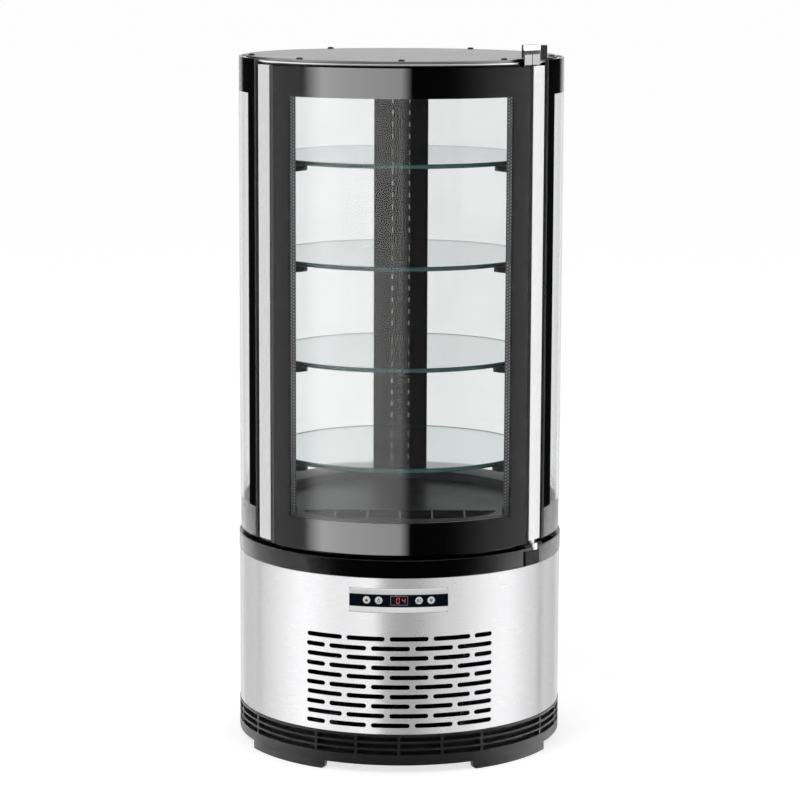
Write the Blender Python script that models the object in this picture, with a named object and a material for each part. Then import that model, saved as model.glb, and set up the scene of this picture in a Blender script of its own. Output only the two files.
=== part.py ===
"""Round refrigerated cake display case with a curved glazed door.

Units are metres, +Z is up, and the case stands on Z = 0 with its axis on Z.
Angles are in degrees round that axis, 0 at the front (-Y) and positive towards +X.
Levels are worked out from the floor up, and radii from the body's radius inwards.
"""
import math

import bmesh
import bpy

# Driving dimensions of the whole case
BODY_RADIUS = 0.230
FOOT_HEIGHT = 0.0115
SKIRT_HEIGHT = 0.0435
SHELL_HEIGHT = 0.2192
BAND_HEIGHT = 0.025
GROOVE_HEIGHT = 0.0065
LOWER_RING_HEIGHT = 0.0437
GLAZED_HEIGHT = 0.6157
UPPER_RING_HEIGHT = 0.041
CAP_HEIGHT = 0.0044
ROOF_HEIGHT = 0.0036
ROOF_SETBACK = 0.012

# Clearances
GAP = 0.0003
TAPE_GAP = 0.0007
DOOR_CLEARANCE = 0.0006
OVERRUN = 0.004
WELD = 0.0005
MERGE_DISTANCE = 0.000001

# Angular grids of the round pieces
GRID_ANGLE = 6
SKIRT_GRID_ANGLE = 7.5
SHELF_GRID_ANGLE = 7.5
SMALL_GRID_ANGLE = 15
LEAST_STEP_SHARE = 0.125
FULL_TURN = 360
HALF_TURN = 180
SHARP_ANGLE = 32

# Black louvred skirt with its four feet
SKIRT_WALL = 0.008
SKIRT_RIB_PITCH_ANGLE = 15
SKIRT_RIB_HALF_ANGLE = 0.5
SKIRT_RIBLESS_ANGLE = 45
SKIRT_SOLID_HEIGHT = 0.0138
SKIRT_SLOT_HEIGHT = 0.0067
SKIRT_BAR_HEIGHT = 0.0029
SKIRT_SLOT_ROWS = 3
FOOT_START_ANGLE = 26.5
FOOT_END_ANGLE = 63.5
BASE_PLATE_THICKNESS = 0.003

# Brushed steel wrap and its slotted grille
SHELL_SETBACK = 0.0008
SHELL_WALL = 0.0012
SHELL_REAR_ANGLE = 150
SLOT_PITCH = 0.01355
SLOT_HEIGHT = 0.0063
SLOT_ANGLE = 13.4
SLOT_PITCH_ANGLE = 15.1
GRILLE_HALF_ANGLE = 33.8
GRILLE_LOWEST = 0.0123
GRILLE_TOP_MARGIN = 0.030
ODD_ROW_START_ANGLE = -33.5
EVEN_ROW_START_ANGLE = -39.9
SLOT_END_STEPS = 3

# Rear service panel
REAR_PANEL_HALF_ANGLE = 29.7
REAR_SLOT_PITCH = 0.018
REAR_SLOT_HEIGHT = 0.007
REAR_SLOT_LOWEST = 0.085
REAR_SLOT_TOP_MARGIN = 0.012
REAR_SLOT_INNER_ANGLE = 2
REAR_SLOT_OUTER_ANGLE = 22
INLET_START_ANGLE = 160.5
INLET_END_ANGLE = 168.5
INLET_BASE = 0.030
INLET_HEIGHT = 0.024
INLET_DEPTH = 0.024
INLET_RECESS_DEPTH = 0.016
INLET_RIM_ANGLE = 1.3
INLET_RIM = 0.004

# Black band above the steel, with the groove under the door
BAND_WALL = 0.026
GROOVE_DEPTH = 0.018

# Insulated tub under the deck
TUB_DEPTH = 0.058
TUB_WALL = 0.012
TUB_FLOOR = 0.010

# Frame rings above and below the glass
GLASS_SETBACK = 0.002
GLASS_THICKNESS = 0.004
SIDE_GLASS_RISE = 0.0067
RING_SETBACK = 0.0025
RING_DECK_INSET = 0.054
RING_LEDGE = 0.006
SEAL_GAP = 0.0008
FLANGE_SLOPE_ANGLE = 1
FRAME_START_ANGLE = 60.5
SIDE_GLASS_START_ANGLE = 60.8

# Deck and its front air vent
DECK_RECESS = 0.012
DECK_THICKNESS = 0.0015
VENT_DEPTH = 0.094
VENT_INSET = 0.016
VENT_THICKNESS = 0.003
VENT_COLUMNS = 6
VENT_ROWS = 6
VENT_COLUMN_PITCH = 0.0453
VENT_ROW_PITCH = 0.0135
VENT_SLOT_WIDTH = 0.0425
VENT_SLOT_DEPTH = 0.0095
VENT_MARGIN = 0.007

# Front posts, shelf clips and light strips
POST_FLANGE_THICKNESS = 0.0097
POST_FLANGE_ANGLE = 50
POST_END_ANGLE = 69
CLIP_TIP_OUTER_ANGLE = 44
CLIP_TIP_INNER_ANGLE = 47.8
CLIP_ROOT_ANGLE = 54
CLIP_GAP = 0.0004
CLIP_WIDTH = 0.0136
CLIP_TIP_HEIGHT = 0.006
CLIP_ROOT_HEIGHT = 0.010
LIGHT_START_ANGLE = 55
LIGHT_END_ANGLE = 59
LIGHT_DEPTH = 0.0038
LIGHT_MARGIN = 0.006

# Rear air column and its cover strip
COLUMN_HALF_WIDTH = 0.039
COLUMN_DEPTH = 0.043
COLUMN_WALL = 0.002
COVER_LIP = 0.0014
COVER_GAP_ANGLE = 0.4

# Glass shelves and their rear brackets
SHELF_COUNT = 4
SHELF_INSET = 0.045
SHELF_THICKNESS = 0.006
TOP_SHELF_BELOW_FRAME = 0.0963
LOWEST_SHELF_ABOVE_DECK = 0.0737
BRACKET_HALF_WIDTH = 0.016
BRACKET_REACH = 0.030
BRACKET_TIP_HEIGHT = 0.004
BRACKET_ROOT_HEIGHT = 0.014

# Door
DOOR_GLASS_HALF_ANGLE = 50.6
DOOR_PROFILE_START_ANGLE = 50.9
DOOR_PROFILE_END_ANGLE = 58.3
DOOR_PROFILE_DEPTH = 0.020
DOOR_PROFILE_LIFT = 0.003
DOOR_CAVITY = 0.012
WINDOW_HALF_ANGLE = 41.5
SPACER_WIDTH_ANGLE = 3.5
SPACER_WIDTH = 0.012
WINDOW_FROM_DOOR_BASE = 0.0435
WINDOW_FROM_DOOR_TOP = 0.0405
GASKET_DEPTH = 0.0088
GASKET_INNER_ANGLE = 47.5
GASKET_OUTER_ANGLE = 52.5
GASKET_WIDTH = 0.013
GASKET_FROM_DOOR_BASE = 0.020
GASKET_FROM_DOOR_TOP = 0.016

# Door hinges
HINGE_INSET = 0.007
HINGE_ANGLE = 55.2
HINGE_PIN_RADIUS = 0.003
HINGE_PIN_CLEARANCE = 0.0003
HINGE_PIN_ENGAGEMENT = 0.012
HINGE_COLLAR_RADIUS = 0.0068
LOWER_HINGE_START_ANGLE = 49.5
LOWER_HINGE_END_ANGLE = 60.3
LOWER_HINGE_PLATE = 0.002
LOWER_HINGE_REACH = 0.0162
LOWER_HINGE_ARM = 0.0035
LOWER_HINGE_DROP = 0.0248
UPPER_HINGE_START_ANGLE = 46
UPPER_HINGE_END_ANGLE = 56.6
UPPER_HINGE_REACH = 0.023
UPPER_HINGE_PROUD = 0.0005
UPPER_HINGE_HEIGHT = 0.0275
UPPER_HINGE_LIFT = 0.001
UPPER_HINGE_LEFT_REACH = 0.0181
UPPER_HINGE_RIGHT_REACH = 0.0056
HINGE_NOTCH_MARGIN_ANGLE = 0.5
HINGE_NOTCH_MARGIN = 0.0007
BRACKET_START_ANGLE = 56.9
BRACKET_END_ANGLE = 62.6
ROOF_BRACKET_REACH = 0.035
ROOF_BRACKET_INSET = 0.005
ROOF_BRACKET_HEIGHT = 0.018

# Control plate with its four buttons
PLATE_HALF_ANGLE = 17.35
PLATE_WINDOW_HALF_ANGLE = 16.9
PLATE_BELOW_BAND = 0.0144
PLATE_HEIGHT = 0.0326
PLATE_FRAME_HEIGHT = 0.0087
PLATE_DEPTH = 0.0035
PANEL_RECESS = 0.0001
PANEL_DEPTH = 0.0031
PLATE_MARGIN_ANGLE = 0.25
BUTTON_RADIUS = 0.0053
BUTTON_CLEARANCE = 0.0004
BUTTON_LENGTH = 0.0109
BUTTON_TRAVEL = 0.0008
ROUND_STEPS = 16
LARGE_ROUND_STEPS = 24
BUTTON_ANGLES = {
    "button_up": -11.3,
    "button_light": -7.1,
    "button_set": 6.7,
    "button_down": 10.9,
}
BOARD_HALF_WIDTH = 0.056
BOARD_CLEARANCE = 0.0022
BOARD_THICKNESS = 0.0016
BOARD_MARGIN = 0.001
STANDOFF_SIZE = 0.005

# Refrigeration in the base
CONDENSER_HALF_WIDTH = 0.085
CONDENSER_SETBACK = 0.045
CONDENSER_DEPTH = 0.030
CONDENSER_HEIGHT = 0.185
CONDENSER_FINS = 9
FIN_SLOT_DEPTH = 0.022
FIN_SLOT_SHARE = 0.5
SHROUD_THICKNESS = 0.012
SHROUD_HOLE_RADIUS = 0.074
STRUT_DEPTH = 0.021
STRUT_THICKNESS = 0.006
STRUT_HEIGHT = 0.014
MOTOR_RADIUS = 0.026
MOTOR_LENGTH = 0.036
FAN_RADIUS = 0.070
FAN_HUB_RADIUS = 0.022
FAN_HUB_LENGTH = 0.020
FAN_BLADES = 5
FAN_BLADE_HALF_ANGLE = 21
FAN_BLADE_PITCH = 0.0055
FAN_BLADE_THICKNESS = 0.0022
FAN_TO_STRUT = 0.0024
COMPRESSOR_RADIUS = 0.062
COMPRESSOR_HEIGHT = 0.150
COMPRESSOR_DOME = 0.028
COMPRESSOR_DOME_RADIUS = 0.034
COMPRESSOR_FLANGE_RADIUS = 0.066
COMPRESSOR_FLANGE_BASE = 0.072
COMPRESSOR_FLANGE_HEIGHT = 0.008
COMPRESSOR_SETBACK = 0.055
CONTROL_BOX_HALF_WIDTH = 0.030
CONTROL_BOX_HALF_DEPTH = 0.045
CONTROL_BOX_HEIGHT = 0.090
CONTROL_BOX_GAP = 0.029

# Evaporator and its fan, in the tub
EVAPORATOR_HALF_WIDTH = 0.110
EVAPORATOR_FRONT = 0.005
EVAPORATOR_DEPTH = 0.090
EVAPORATOR_HEIGHT = 0.060
EVAPORATOR_FINS = 8
BLOWER_HALF_WIDTH = 0.062
BLOWER_SETBACK = 0.125
BLOWER_HEIGHT = 0.032
BLOWER_FLOOR = 0.003
BLOWER_BORE_RADIUS = 0.054
BLOWER_OUTLET_HALF_WIDTH = 0.036
BLOWER_OUTLET_HEIGHT = 0.020
WHEEL_RADIUS = 0.050
WHEEL_HUB_RADIUS = 0.018
WHEEL_HEIGHT = 0.022
WHEEL_BLADES = 7
WHEEL_BLADE_THICKNESS = 0.003
WHEEL_BLADE_LIFT = 0.002

# Levels, from the floor up
SKIRT_TOP = FOOT_HEIGHT + SKIRT_HEIGHT
SHELL_BASE = SKIRT_TOP + GAP
SHELL_TOP = SHELL_BASE + SHELL_HEIGHT
PLATE_TOP = SHELL_TOP - PLATE_BELOW_BAND
PLATE_BASE = PLATE_TOP - PLATE_HEIGHT
BAND_BASE = SHELL_TOP + GAP
BAND_TOP = BAND_BASE + BAND_HEIGHT
GROOVE_TOP = BAND_TOP + GROOVE_HEIGHT
RING_BASE = GROOVE_TOP + GAP
RING_TOP = RING_BASE + LOWER_RING_HEIGHT
GLASS_BASE = RING_TOP + GAP
GLASS_TOP = GLASS_BASE + GLAZED_HEIGHT
SIDE_GLASS_TOP = GLASS_TOP + SIDE_GLASS_RISE
UPPER_RING_BASE = GLASS_TOP - UPPER_RING_HEIGHT
CAP_BASE = GLASS_TOP + GAP
CAP_TOP = CAP_BASE + CAP_HEIGHT
ROOF_BASE = CAP_TOP + GAP
ROOF_TOP = ROOF_BASE + ROOF_HEIGHT
DECK_TOP = RING_TOP - DECK_RECESS
DECK_BASE = DECK_TOP - DECK_THICKNESS
SHELF_ROOM = UPPER_RING_BASE - DECK_TOP - LOWEST_SHELF_ABOVE_DECK - TOP_SHELF_BELOW_FRAME
SHELF_PITCH = SHELF_ROOM / (SHELF_COUNT - 1)
PLATE_TOP_OF_BASE = FOOT_HEIGHT + BASE_PLATE_THICKNESS
MACHINE_FLOOR = PLATE_TOP_OF_BASE + GAP
DOOR_BASE = GROOVE_TOP + DOOR_CLEARANCE
DOOR_TOP = CAP_BASE - DOOR_CLEARANCE
TUB_BASE = GROOVE_TOP - TUB_DEPTH
TUB_INSIDE = TUB_BASE + TUB_FLOOR + GAP

# Radii, from the body inwards
SHELL_RADIUS = BODY_RADIUS - SHELL_SETBACK
SKIRT_INNER = BODY_RADIUS - SKIRT_WALL
GLASS_RADIUS = BODY_RADIUS - GLASS_SETBACK
GLASS_INNER = GLASS_RADIUS - GLASS_THICKNESS
FRAME_RADIUS = GLASS_INNER - TAPE_GAP
ROOF_RADIUS = BODY_RADIUS - ROOF_SETBACK
RING_RADIUS = BODY_RADIUS - RING_SETBACK
BAND_INNER = BODY_RADIUS - BAND_WALL
GROOVE_RADIUS = BODY_RADIUS - GROOVE_DEPTH
TUB_RADIUS = BAND_INNER - TAPE_GAP
DOOR_GLASS_INNER = BODY_RADIUS - GLASS_THICKNESS
INNER_PANE_OUTER = DOOR_GLASS_INNER - DOOR_CAVITY
INNER_PANE_INNER = INNER_PANE_OUTER - GLASS_THICKNESS
GASKET_OUTER = INNER_PANE_INNER - TAPE_GAP
GASKET_INNER = GASKET_OUTER - GASKET_DEPTH
FLANGE_RADIUS = GASKET_INNER - SEAL_GAP
POST_INNER_RADIUS = FLANGE_RADIUS - POST_FLANGE_THICKNESS
CLIP_RADIUS = POST_INNER_RADIUS - CLIP_GAP
RING_BORE = BODY_RADIUS - RING_DECK_INSET
VENT_RADIUS = RING_BORE - VENT_INSET
VENT_CHORD = VENT_RADIUS - VENT_DEPTH
SHELF_RADIUS = BODY_RADIUS - SHELF_INSET
COLUMN_FACE = BODY_RADIUS - COLUMN_DEPTH
COVER_HALF_ANGLE = math.degrees(math.asin((COLUMN_HALF_WIDTH + COVER_LIP) / GLASS_RADIUS))
SIDE_GLASS_END_ANGLE = HALF_TURN - COVER_HALF_ANGLE - COVER_GAP_ANGLE
HINGE_RADIUS = BODY_RADIUS - HINGE_INSET
LOWER_HINGE_INNER = BODY_RADIUS - LOWER_HINGE_REACH
UPPER_HINGE_INNER = BODY_RADIUS - UPPER_HINGE_REACH
ROOF_BRACKET_OUTER = BODY_RADIUS - ROOF_BRACKET_INSET
ROOF_BRACKET_INNER = BODY_RADIUS - ROOF_BRACKET_REACH
BUTTON_BACK = BODY_RADIUS - BUTTON_LENGTH
CONDENSER_FRONT = BODY_RADIUS - CONDENSER_SETBACK
BLOWER_CENTRE = BODY_RADIUS - BLOWER_SETBACK

# Colours: linear RGB, metallic, roughness
FINISHES = {
    "black_plastic": ((0.018, 0.018, 0.019), 0.0, 0.45),
    "gloss_black": ((0.006, 0.006, 0.007), 0.0, 0.08),
    "compressor_paint": ((0.010, 0.010, 0.011), 0.0, 0.30),
    "brushed_steel": ((0.62, 0.62, 0.63), 1.0, 0.28),
    "satin_aluminium": ((0.72, 0.72, 0.73), 1.0, 0.35),
    "chrome": ((0.80, 0.80, 0.81), 1.0, 0.10),
    "galvanised": ((0.45, 0.46, 0.47), 1.0, 0.45),
    "glass": ((0.78, 0.90, 0.85), 0.0, 0.02),
    "printed_glass": ((0.016, 0.017, 0.017), 0.0, 0.04),
    "silver_plastic": ((0.62, 0.62, 0.63), 0.0, 0.30),
    "white_plastic": ((0.80, 0.80, 0.80), 0.0, 0.35),
    "rubber": ((0.012, 0.012, 0.012), 0.0, 0.75),
    "light": ((0.95, 0.95, 0.90), 0.0, 0.40),
    "circuit_board": ((0.02, 0.10, 0.04), 0.0, 0.50),
}


def material(finish):
    """The shared material of one finish."""
    found = bpy.data.materials.get(finish)
    if found:
        return found
    colour, metallic, roughness = FINISHES[finish]
    made = bpy.data.materials.new(finish)
    made.use_nodes = True
    shader = made.node_tree.nodes["Principled BSDF"]
    shader.inputs["Base Color"].default_value = (*colour, 1.0)
    shader.inputs["Metallic"].default_value = metallic
    shader.inputs["Roughness"].default_value = roughness
    made.diffuse_color = (*colour, 1.0)
    return made


def new_object(name, points, faces, finish, origin=(0, 0, 0)):
    """One closed piece from points and faces, with its origin at the given place."""
    local = [[p[axis] - origin[axis] for axis in range(3)] for p in points]
    mesh = bpy.data.meshes.new(name)
    mesh.from_pydata(local, [], faces)
    tidy = bmesh.new()
    tidy.from_mesh(mesh)
    bmesh.ops.remove_doubles(tidy, verts=tidy.verts, dist=MERGE_DISTANCE)
    bmesh.ops.recalc_face_normals(tidy, faces=tidy.faces)
    tidy.to_mesh(mesh)
    tidy.free()
    mesh.shade_smooth()
    mesh.set_sharp_from_angle(angle=math.radians(SHARP_ANGLE))
    piece = bpy.data.objects.new(name, mesh)
    piece.location = origin
    bpy.context.scene.collection.objects.link(piece)
    if finish:
        mesh.materials.append(material(finish))
    return piece


def polar(radius, angle):
    """Plan position at a radius and an angle from the front."""
    turn = math.radians(angle)
    return radius * math.sin(turn), -radius * math.cos(turn)


def arc_angles(start, end, grid=GRID_ANGLE):
    """Angles from start to end, with the grid's angles in between."""
    angles = [start]
    step = math.floor(start / grid) + 1
    least = grid * LEAST_STEP_SHARE
    while step * grid < end - least:
        if step * grid > start + least:
            angles.append(step * grid)
        step += 1
    angles.append(end)
    return angles


def swept(name, angles, profile_at, finish, closed=False):
    """A profile of (radius, level) points carried round the axis, one profile for each angle."""
    points = []
    for angle in angles:
        for radius, level in profile_at(angle):
            points.append((*polar(radius, angle), level))
    size = len(profile_at(angles[0]))
    faces = []
    rounds = len(angles) if closed else len(angles) - 1
    for station in range(rounds):
        following = (station + 1) % len(angles)
        for corner in range(size):
            other = (corner + 1) % size
            faces.append((station * size + corner, station * size + other,
                          following * size + other, following * size + corner))
    if not closed:
        last = (len(angles) - 1) * size
        faces.append(tuple(range(size)))
        faces.append(tuple(last + corner for corner in range(size)))
    return new_object(name, points, faces, finish)


def turned(name, profile, finish, grid=GRID_ANGLE):
    """A full turn of one profile of (radius, level) points."""
    angles = [step * grid for step in range(round(FULL_TURN / grid))]
    return swept(name, angles, lambda angle: profile, finish, closed=True)


def section(inner, outer, low, high):
    """The rectangular profile between two radii and two levels."""
    return [(inner, low), (outer, low), (outer, high), (inner, high)]


def sector(name, inner, outer, start, end, low, high, finish):
    """A curved slab between two radii, two angles and two levels."""
    profile = section(inner, outer, low, high)
    return swept(name, arc_angles(start, end), lambda angle: profile, finish)


def lattice_wall(name, inner, outer, angles, levels, is_solid, finish, closed=False):
    """A curved wall on a grid of angles and levels, open in the cells that is_solid refuses."""
    columns = len(angles) if closed else len(angles) - 1
    rows = len(levels) - 1
    points = []
    for angle in angles:
        for level in levels:
            points.append((*polar(inner, angle), level))
            points.append((*polar(outer, angle), level))

    def vertex(column, row, side):
        return ((column % len(angles)) * len(levels) + row) * 2 + side

    def solid(column, row):
        if row < 0 or row >= rows:
            return False
        if closed:
            column %= columns
        elif column < 0 or column >= columns:
            return False
        start = angles[column]
        end = angles[(column + 1) % len(angles)]
        if end < start:
            end += FULL_TURN
        return is_solid((start + end) / 2, (levels[row] + levels[row + 1]) / 2)

    faces = []
    for column in range(columns):
        for row in range(rows):
            if not solid(column, row):
                continue
            corners = [(column, row), (column + 1, row), (column + 1, row + 1), (column, row + 1)]
            for side in (0, 1):
                faces.append(tuple(vertex(*corner, side) for corner in corners))
            neighbours = [(column, row - 1), (column + 1, row), (column, row + 1), (column - 1, row)]
            for place, neighbour in enumerate(neighbours):
                if solid(*neighbour):
                    continue
                first = corners[place]
                second = corners[(place + 1) % 4]
                faces.append((vertex(*first, 0), vertex(*second, 0), vertex(*second, 1), vertex(*first, 1)))
    return new_object(name, points, faces, finish)


def prism(name, outline, low, high, finish, origin=(0, 0, 0)):
    """A plan outline carried up from one level to another."""
    count = len(outline)
    points = [(x, y, low) for x, y in outline] + [(x, y, high) for x, y in outline]
    faces = [tuple(range(count)), tuple(range(count, 2 * count))]
    for place in range(count):
        other = (place + 1) % count
        faces.append((place, other, count + other, count + place))
    return new_object(name, points, faces, finish, origin)


def block(name, low, high, finish, origin=(0, 0, 0)):
    """A rectangular block between two corners."""
    outline = [(low[0], low[1]), (high[0], low[1]), (high[0], high[1]), (low[0], high[1])]
    return prism(name, outline, low[2], high[2], finish, origin)


def round_bar(name, start, end, radius, finish, steps=ROUND_STEPS, origin=(0, 0, 0)):
    """A straight round bar from one point to another."""
    along = [end[axis] - start[axis] for axis in range(3)]
    length = math.sqrt(sum(part * part for part in along))
    along = [part / length for part in along]
    if abs(along[2]) > math.cos(math.radians(SHARP_ANGLE)):
        across = (1.0, 0.0, 0.0)
    else:
        flat = math.hypot(along[0], along[1])
        across = (-along[1] / flat, along[0] / flat, 0.0)
    upward = (along[1] * across[2] - along[2] * across[1],
              along[2] * across[0] - along[0] * across[2],
              along[0] * across[1] - along[1] * across[0])
    points = []
    for centre in (start, end):
        for step in range(steps):
            turn = 2 * math.pi * step / steps
            points.append(tuple(centre[axis] + radius * (math.cos(turn) * across[axis]
                                                         + math.sin(turn) * upward[axis])
                                for axis in range(3)))
    faces = [tuple(range(steps)), tuple(range(steps, 2 * steps))]
    for step in range(steps):
        other = (step + 1) % steps
        faces.append((step, other, steps + other, steps + step))
    return new_object(name, points, faces, finish, origin)


def combine(target, tool, operation):
    """A Boolean of one piece with a hidden tool piece."""
    modifier = target.modifiers.new(operation.lower(), "BOOLEAN")
    modifier.operation = operation
    modifier.solver = "EXACT"
    modifier.object = tool
    tool.hide_render = True
    tool.display_type = "WIRE"


def cut(target, *tools):
    for tool in tools:
        combine(target, tool, "DIFFERENCE")


def join(target, *tools):
    for tool in tools:
        combine(target, tool, "UNION")


def base():
    """The louvred skirt that ends in four feet, and the plate that carries the machinery."""
    levels = [0, FOOT_HEIGHT, FOOT_HEIGHT + SKIRT_SOLID_HEIGHT]
    slot_levels = []
    for row in range(SKIRT_SLOT_ROWS):
        slot_levels.append((levels[-1], levels[-1] + SKIRT_SLOT_HEIGHT))
        levels.append(levels[-1] + SKIRT_SLOT_HEIGHT)
        if row < SKIRT_SLOT_ROWS - 1:
            levels.append(levels[-1] + SKIRT_BAR_HEIGHT)
    levels.append(SKIRT_TOP)

    ribs = [step * SKIRT_RIB_PITCH_ANGLE for step in range(round(FULL_TURN / SKIRT_RIB_PITCH_ANGLE))]
    ribs = [angle for angle in ribs if angle % (FULL_TURN / 4) != SKIRT_RIBLESS_ANGLE]
    feet = []
    for quarter in (0, HALF_TURN):
        feet.append((quarter + FOOT_START_ANGLE, quarter + FOOT_END_ANGLE))
        feet.append((quarter + HALF_TURN - FOOT_END_ANGLE, quarter + HALF_TURN - FOOT_START_ANGLE))
    angles = {step * SKIRT_GRID_ANGLE for step in range(round(FULL_TURN / SKIRT_GRID_ANGLE))}
    for angle in ribs:
        angles.add((angle - SKIRT_RIB_HALF_ANGLE) % FULL_TURN)
        angles.add((angle + SKIRT_RIB_HALF_ANGLE) % FULL_TURN)
        if angle % (FULL_TURN / 4):
            angles.discard(angle)
    for start, end in feet:
        angles.update((start, end))

    def is_solid(angle, level):
        angle %= FULL_TURN
        if level < FOOT_HEIGHT:
            return any(start < angle < end for start, end in feet)
        if not any(low < level < high for low, high in slot_levels):
            return True
        offsets = [abs((angle - rib + HALF_TURN) % FULL_TURN - HALF_TURN) for rib in ribs]
        return min(offsets) < SKIRT_RIB_HALF_ANGLE

    lattice_wall("base_skirt", SKIRT_INNER, BODY_RADIUS, sorted(angles), levels, is_solid,
                 "black_plastic", closed=True)
    plate_radius = SKIRT_INNER - TAPE_GAP
    turned("base_plate", section(0, plate_radius, FOOT_HEIGHT, PLATE_TOP_OF_BASE), "galvanised")


def slot_cutter(name, slots, inner, outer):
    """One cutting tool holding rounded slots, each given by two angles and a middle level."""
    points = []
    faces = []
    half = SLOT_HEIGHT / 2
    half_angle = math.degrees(half / SHELL_RADIUS)
    for start, end, level in slots:
        outline = []
        for centre, first in ((end - half_angle, -1), (start + half_angle, 1)):
            for step in range(SLOT_END_STEPS + 1):
                turn = math.pi * step / SLOT_END_STEPS + first * math.pi / 2
                outline.append((centre + half_angle * math.cos(turn), level + half * math.sin(turn)))
        base_index = len(points)
        count = len(outline)
        for radius in (inner, outer):
            points.extend((*polar(radius, angle), height) for angle, height in outline)
        faces.append(tuple(range(base_index, base_index + count)))
        faces.append(tuple(range(base_index + count, base_index + 2 * count)))
        for place in range(count):
            other = (place + 1) % count
            faces.append((base_index + place, base_index + other,
                          base_index + count + other, base_index + count + place))
    return new_object(name, points, faces, None)


def steel_wrap():
    """The brushed steel wrap with its rows of slots and the opening for the control plate."""
    inner = SHELL_RADIUS - SHELL_WALL
    shell = sector("steel_shell", inner, SHELL_RADIUS, -SHELL_REAR_ANGLE, SHELL_REAR_ANGLE,
                   SHELL_BASE, SHELL_TOP, "brushed_steel")
    slots = []
    slot_room = PLATE_BASE - GRILLE_TOP_MARGIN - SLOT_HEIGHT / 2 - SHELL_BASE - GRILLE_LOWEST
    for row in range(math.floor(slot_room / SLOT_PITCH) + 1):
        level = SHELL_BASE + GRILLE_LOWEST + row * SLOT_PITCH
        start = EVEN_ROW_START_ANGLE if row % 2 == 0 else ODD_ROW_START_ANGLE
        while start < GRILLE_HALF_ANGLE:
            low = max(start, -GRILLE_HALF_ANGLE)
            high = min(start + SLOT_ANGLE, GRILLE_HALF_ANGLE)
            slots.append((low, high, level))
            start += SLOT_PITCH_ANGLE
    cut_inner = inner - OVERRUN
    cut_outer = SHELL_RADIUS + OVERRUN
    cut(shell, slot_cutter("grille_cutter", slots, cut_inner, cut_outer))
    opening = PLATE_HALF_ANGLE + PLATE_MARGIN_ANGLE
    cut(shell, sector("plate_cutter", cut_inner, cut_outer, -opening, opening,
                      PLATE_BASE - GAP, PLATE_TOP + GAP, None))


def rear_service_panel():
    """The removable rear panel with its louvres, and the power inlet that it carries."""
    inner = SHELL_RADIUS - SHELL_WALL
    start = HALF_TURN - REAR_PANEL_HALF_ANGLE
    end = HALF_TURN + REAR_PANEL_HALF_ANGLE
    panel = sector("rear_panel", inner, SHELL_RADIUS, start, end, SHELL_BASE, SHELL_TOP, "brushed_steel")
    slot_room = SHELL_HEIGHT - REAR_SLOT_LOWEST - REAR_SLOT_HEIGHT - REAR_SLOT_TOP_MARGIN
    rows = math.floor(slot_room / REAR_SLOT_PITCH) + 1
    levels = [SHELL_BASE + REAR_SLOT_LOWEST + row * REAR_SLOT_PITCH for row in range(rows)]
    for side in (-1, 1):
        angles = sorted(HALF_TURN + side * angle for angle in (REAR_SLOT_INNER_ANGLE, REAR_SLOT_OUTER_ANGLE))
        for place, level in enumerate(levels):
            name = "louvre_cutter_%d_%d" % (side, place)
            cut(panel, sector(name, inner - OVERRUN, SHELL_RADIUS + OVERRUN, angles[0], angles[1],
                              level, level + REAR_SLOT_HEIGHT, None))
    low = SHELL_BASE + INLET_BASE
    high = low + INLET_HEIGHT
    hole_angle = math.degrees(GAP / SHELL_RADIUS)
    cut(panel, sector("inlet_hole_cutter", inner - OVERRUN, SHELL_RADIUS + OVERRUN,
                      INLET_START_ANGLE - hole_angle, INLET_END_ANGLE + hole_angle,
                      low - GAP, high + GAP, None))
    inlet = sector("power_inlet", SHELL_RADIUS - INLET_DEPTH, SHELL_RADIUS, INLET_START_ANGLE,
                   INLET_END_ANGLE, low, high, "black_plastic")
    cut(inlet, sector("inlet_recess_cutter", SHELL_RADIUS - INLET_RECESS_DEPTH, SHELL_RADIUS + OVERRUN,
                      INLET_START_ANGLE + INLET_RIM_ANGLE, INLET_END_ANGLE - INLET_RIM_ANGLE,
                      low + INLET_RIM, high - INLET_RIM, None))


def band_and_tub():
    """The black band with the groove above it, and the insulated tub that hangs inside."""
    turned("base_band", [(BAND_INNER, BAND_BASE), (BODY_RADIUS, BAND_BASE), (BODY_RADIUS, BAND_TOP),
                         (GROOVE_RADIUS, BAND_TOP), (GROOVE_RADIUS, GROOVE_TOP),
                         (BAND_INNER, GROOVE_TOP)], "gloss_black")
    tub_inner = TUB_RADIUS - TUB_WALL
    turned("evaporator_tub", [(0, TUB_BASE), (TUB_RADIUS, TUB_BASE), (TUB_RADIUS, GROOVE_TOP),
                              (tub_inner, GROOVE_TOP), (tub_inner, TUB_BASE + TUB_FLOOR),
                              (0, TUB_BASE + TUB_FLOOR)], "white_plastic")


def frame_angles():
    """Angles of a frame ring, close together where it steps back behind the door."""
    angles = {step * GRID_ANGLE for step in range(round(FULL_TURN / GRID_ANGLE))}
    flange_end = FRAME_START_ANGLE - FLANGE_SLOPE_ANGLE
    angles -= {angle for angle in angles
               if abs(angle - FRAME_START_ANGLE) < GRID_ANGLE / 4
               or abs(angle - FULL_TURN + FRAME_START_ANGLE) < GRID_ANGLE / 4}
    angles.update((flange_end, FRAME_START_ANGLE, FULL_TURN - FRAME_START_ANGLE, FULL_TURN - flange_end))
    return sorted(angles)


def behind_door(angle):
    """True where a frame ring stands back to make room for the door."""
    return min(angle, FULL_TURN - angle) < FRAME_START_ANGLE - FLANGE_SLOPE_ANGLE / 2


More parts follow.
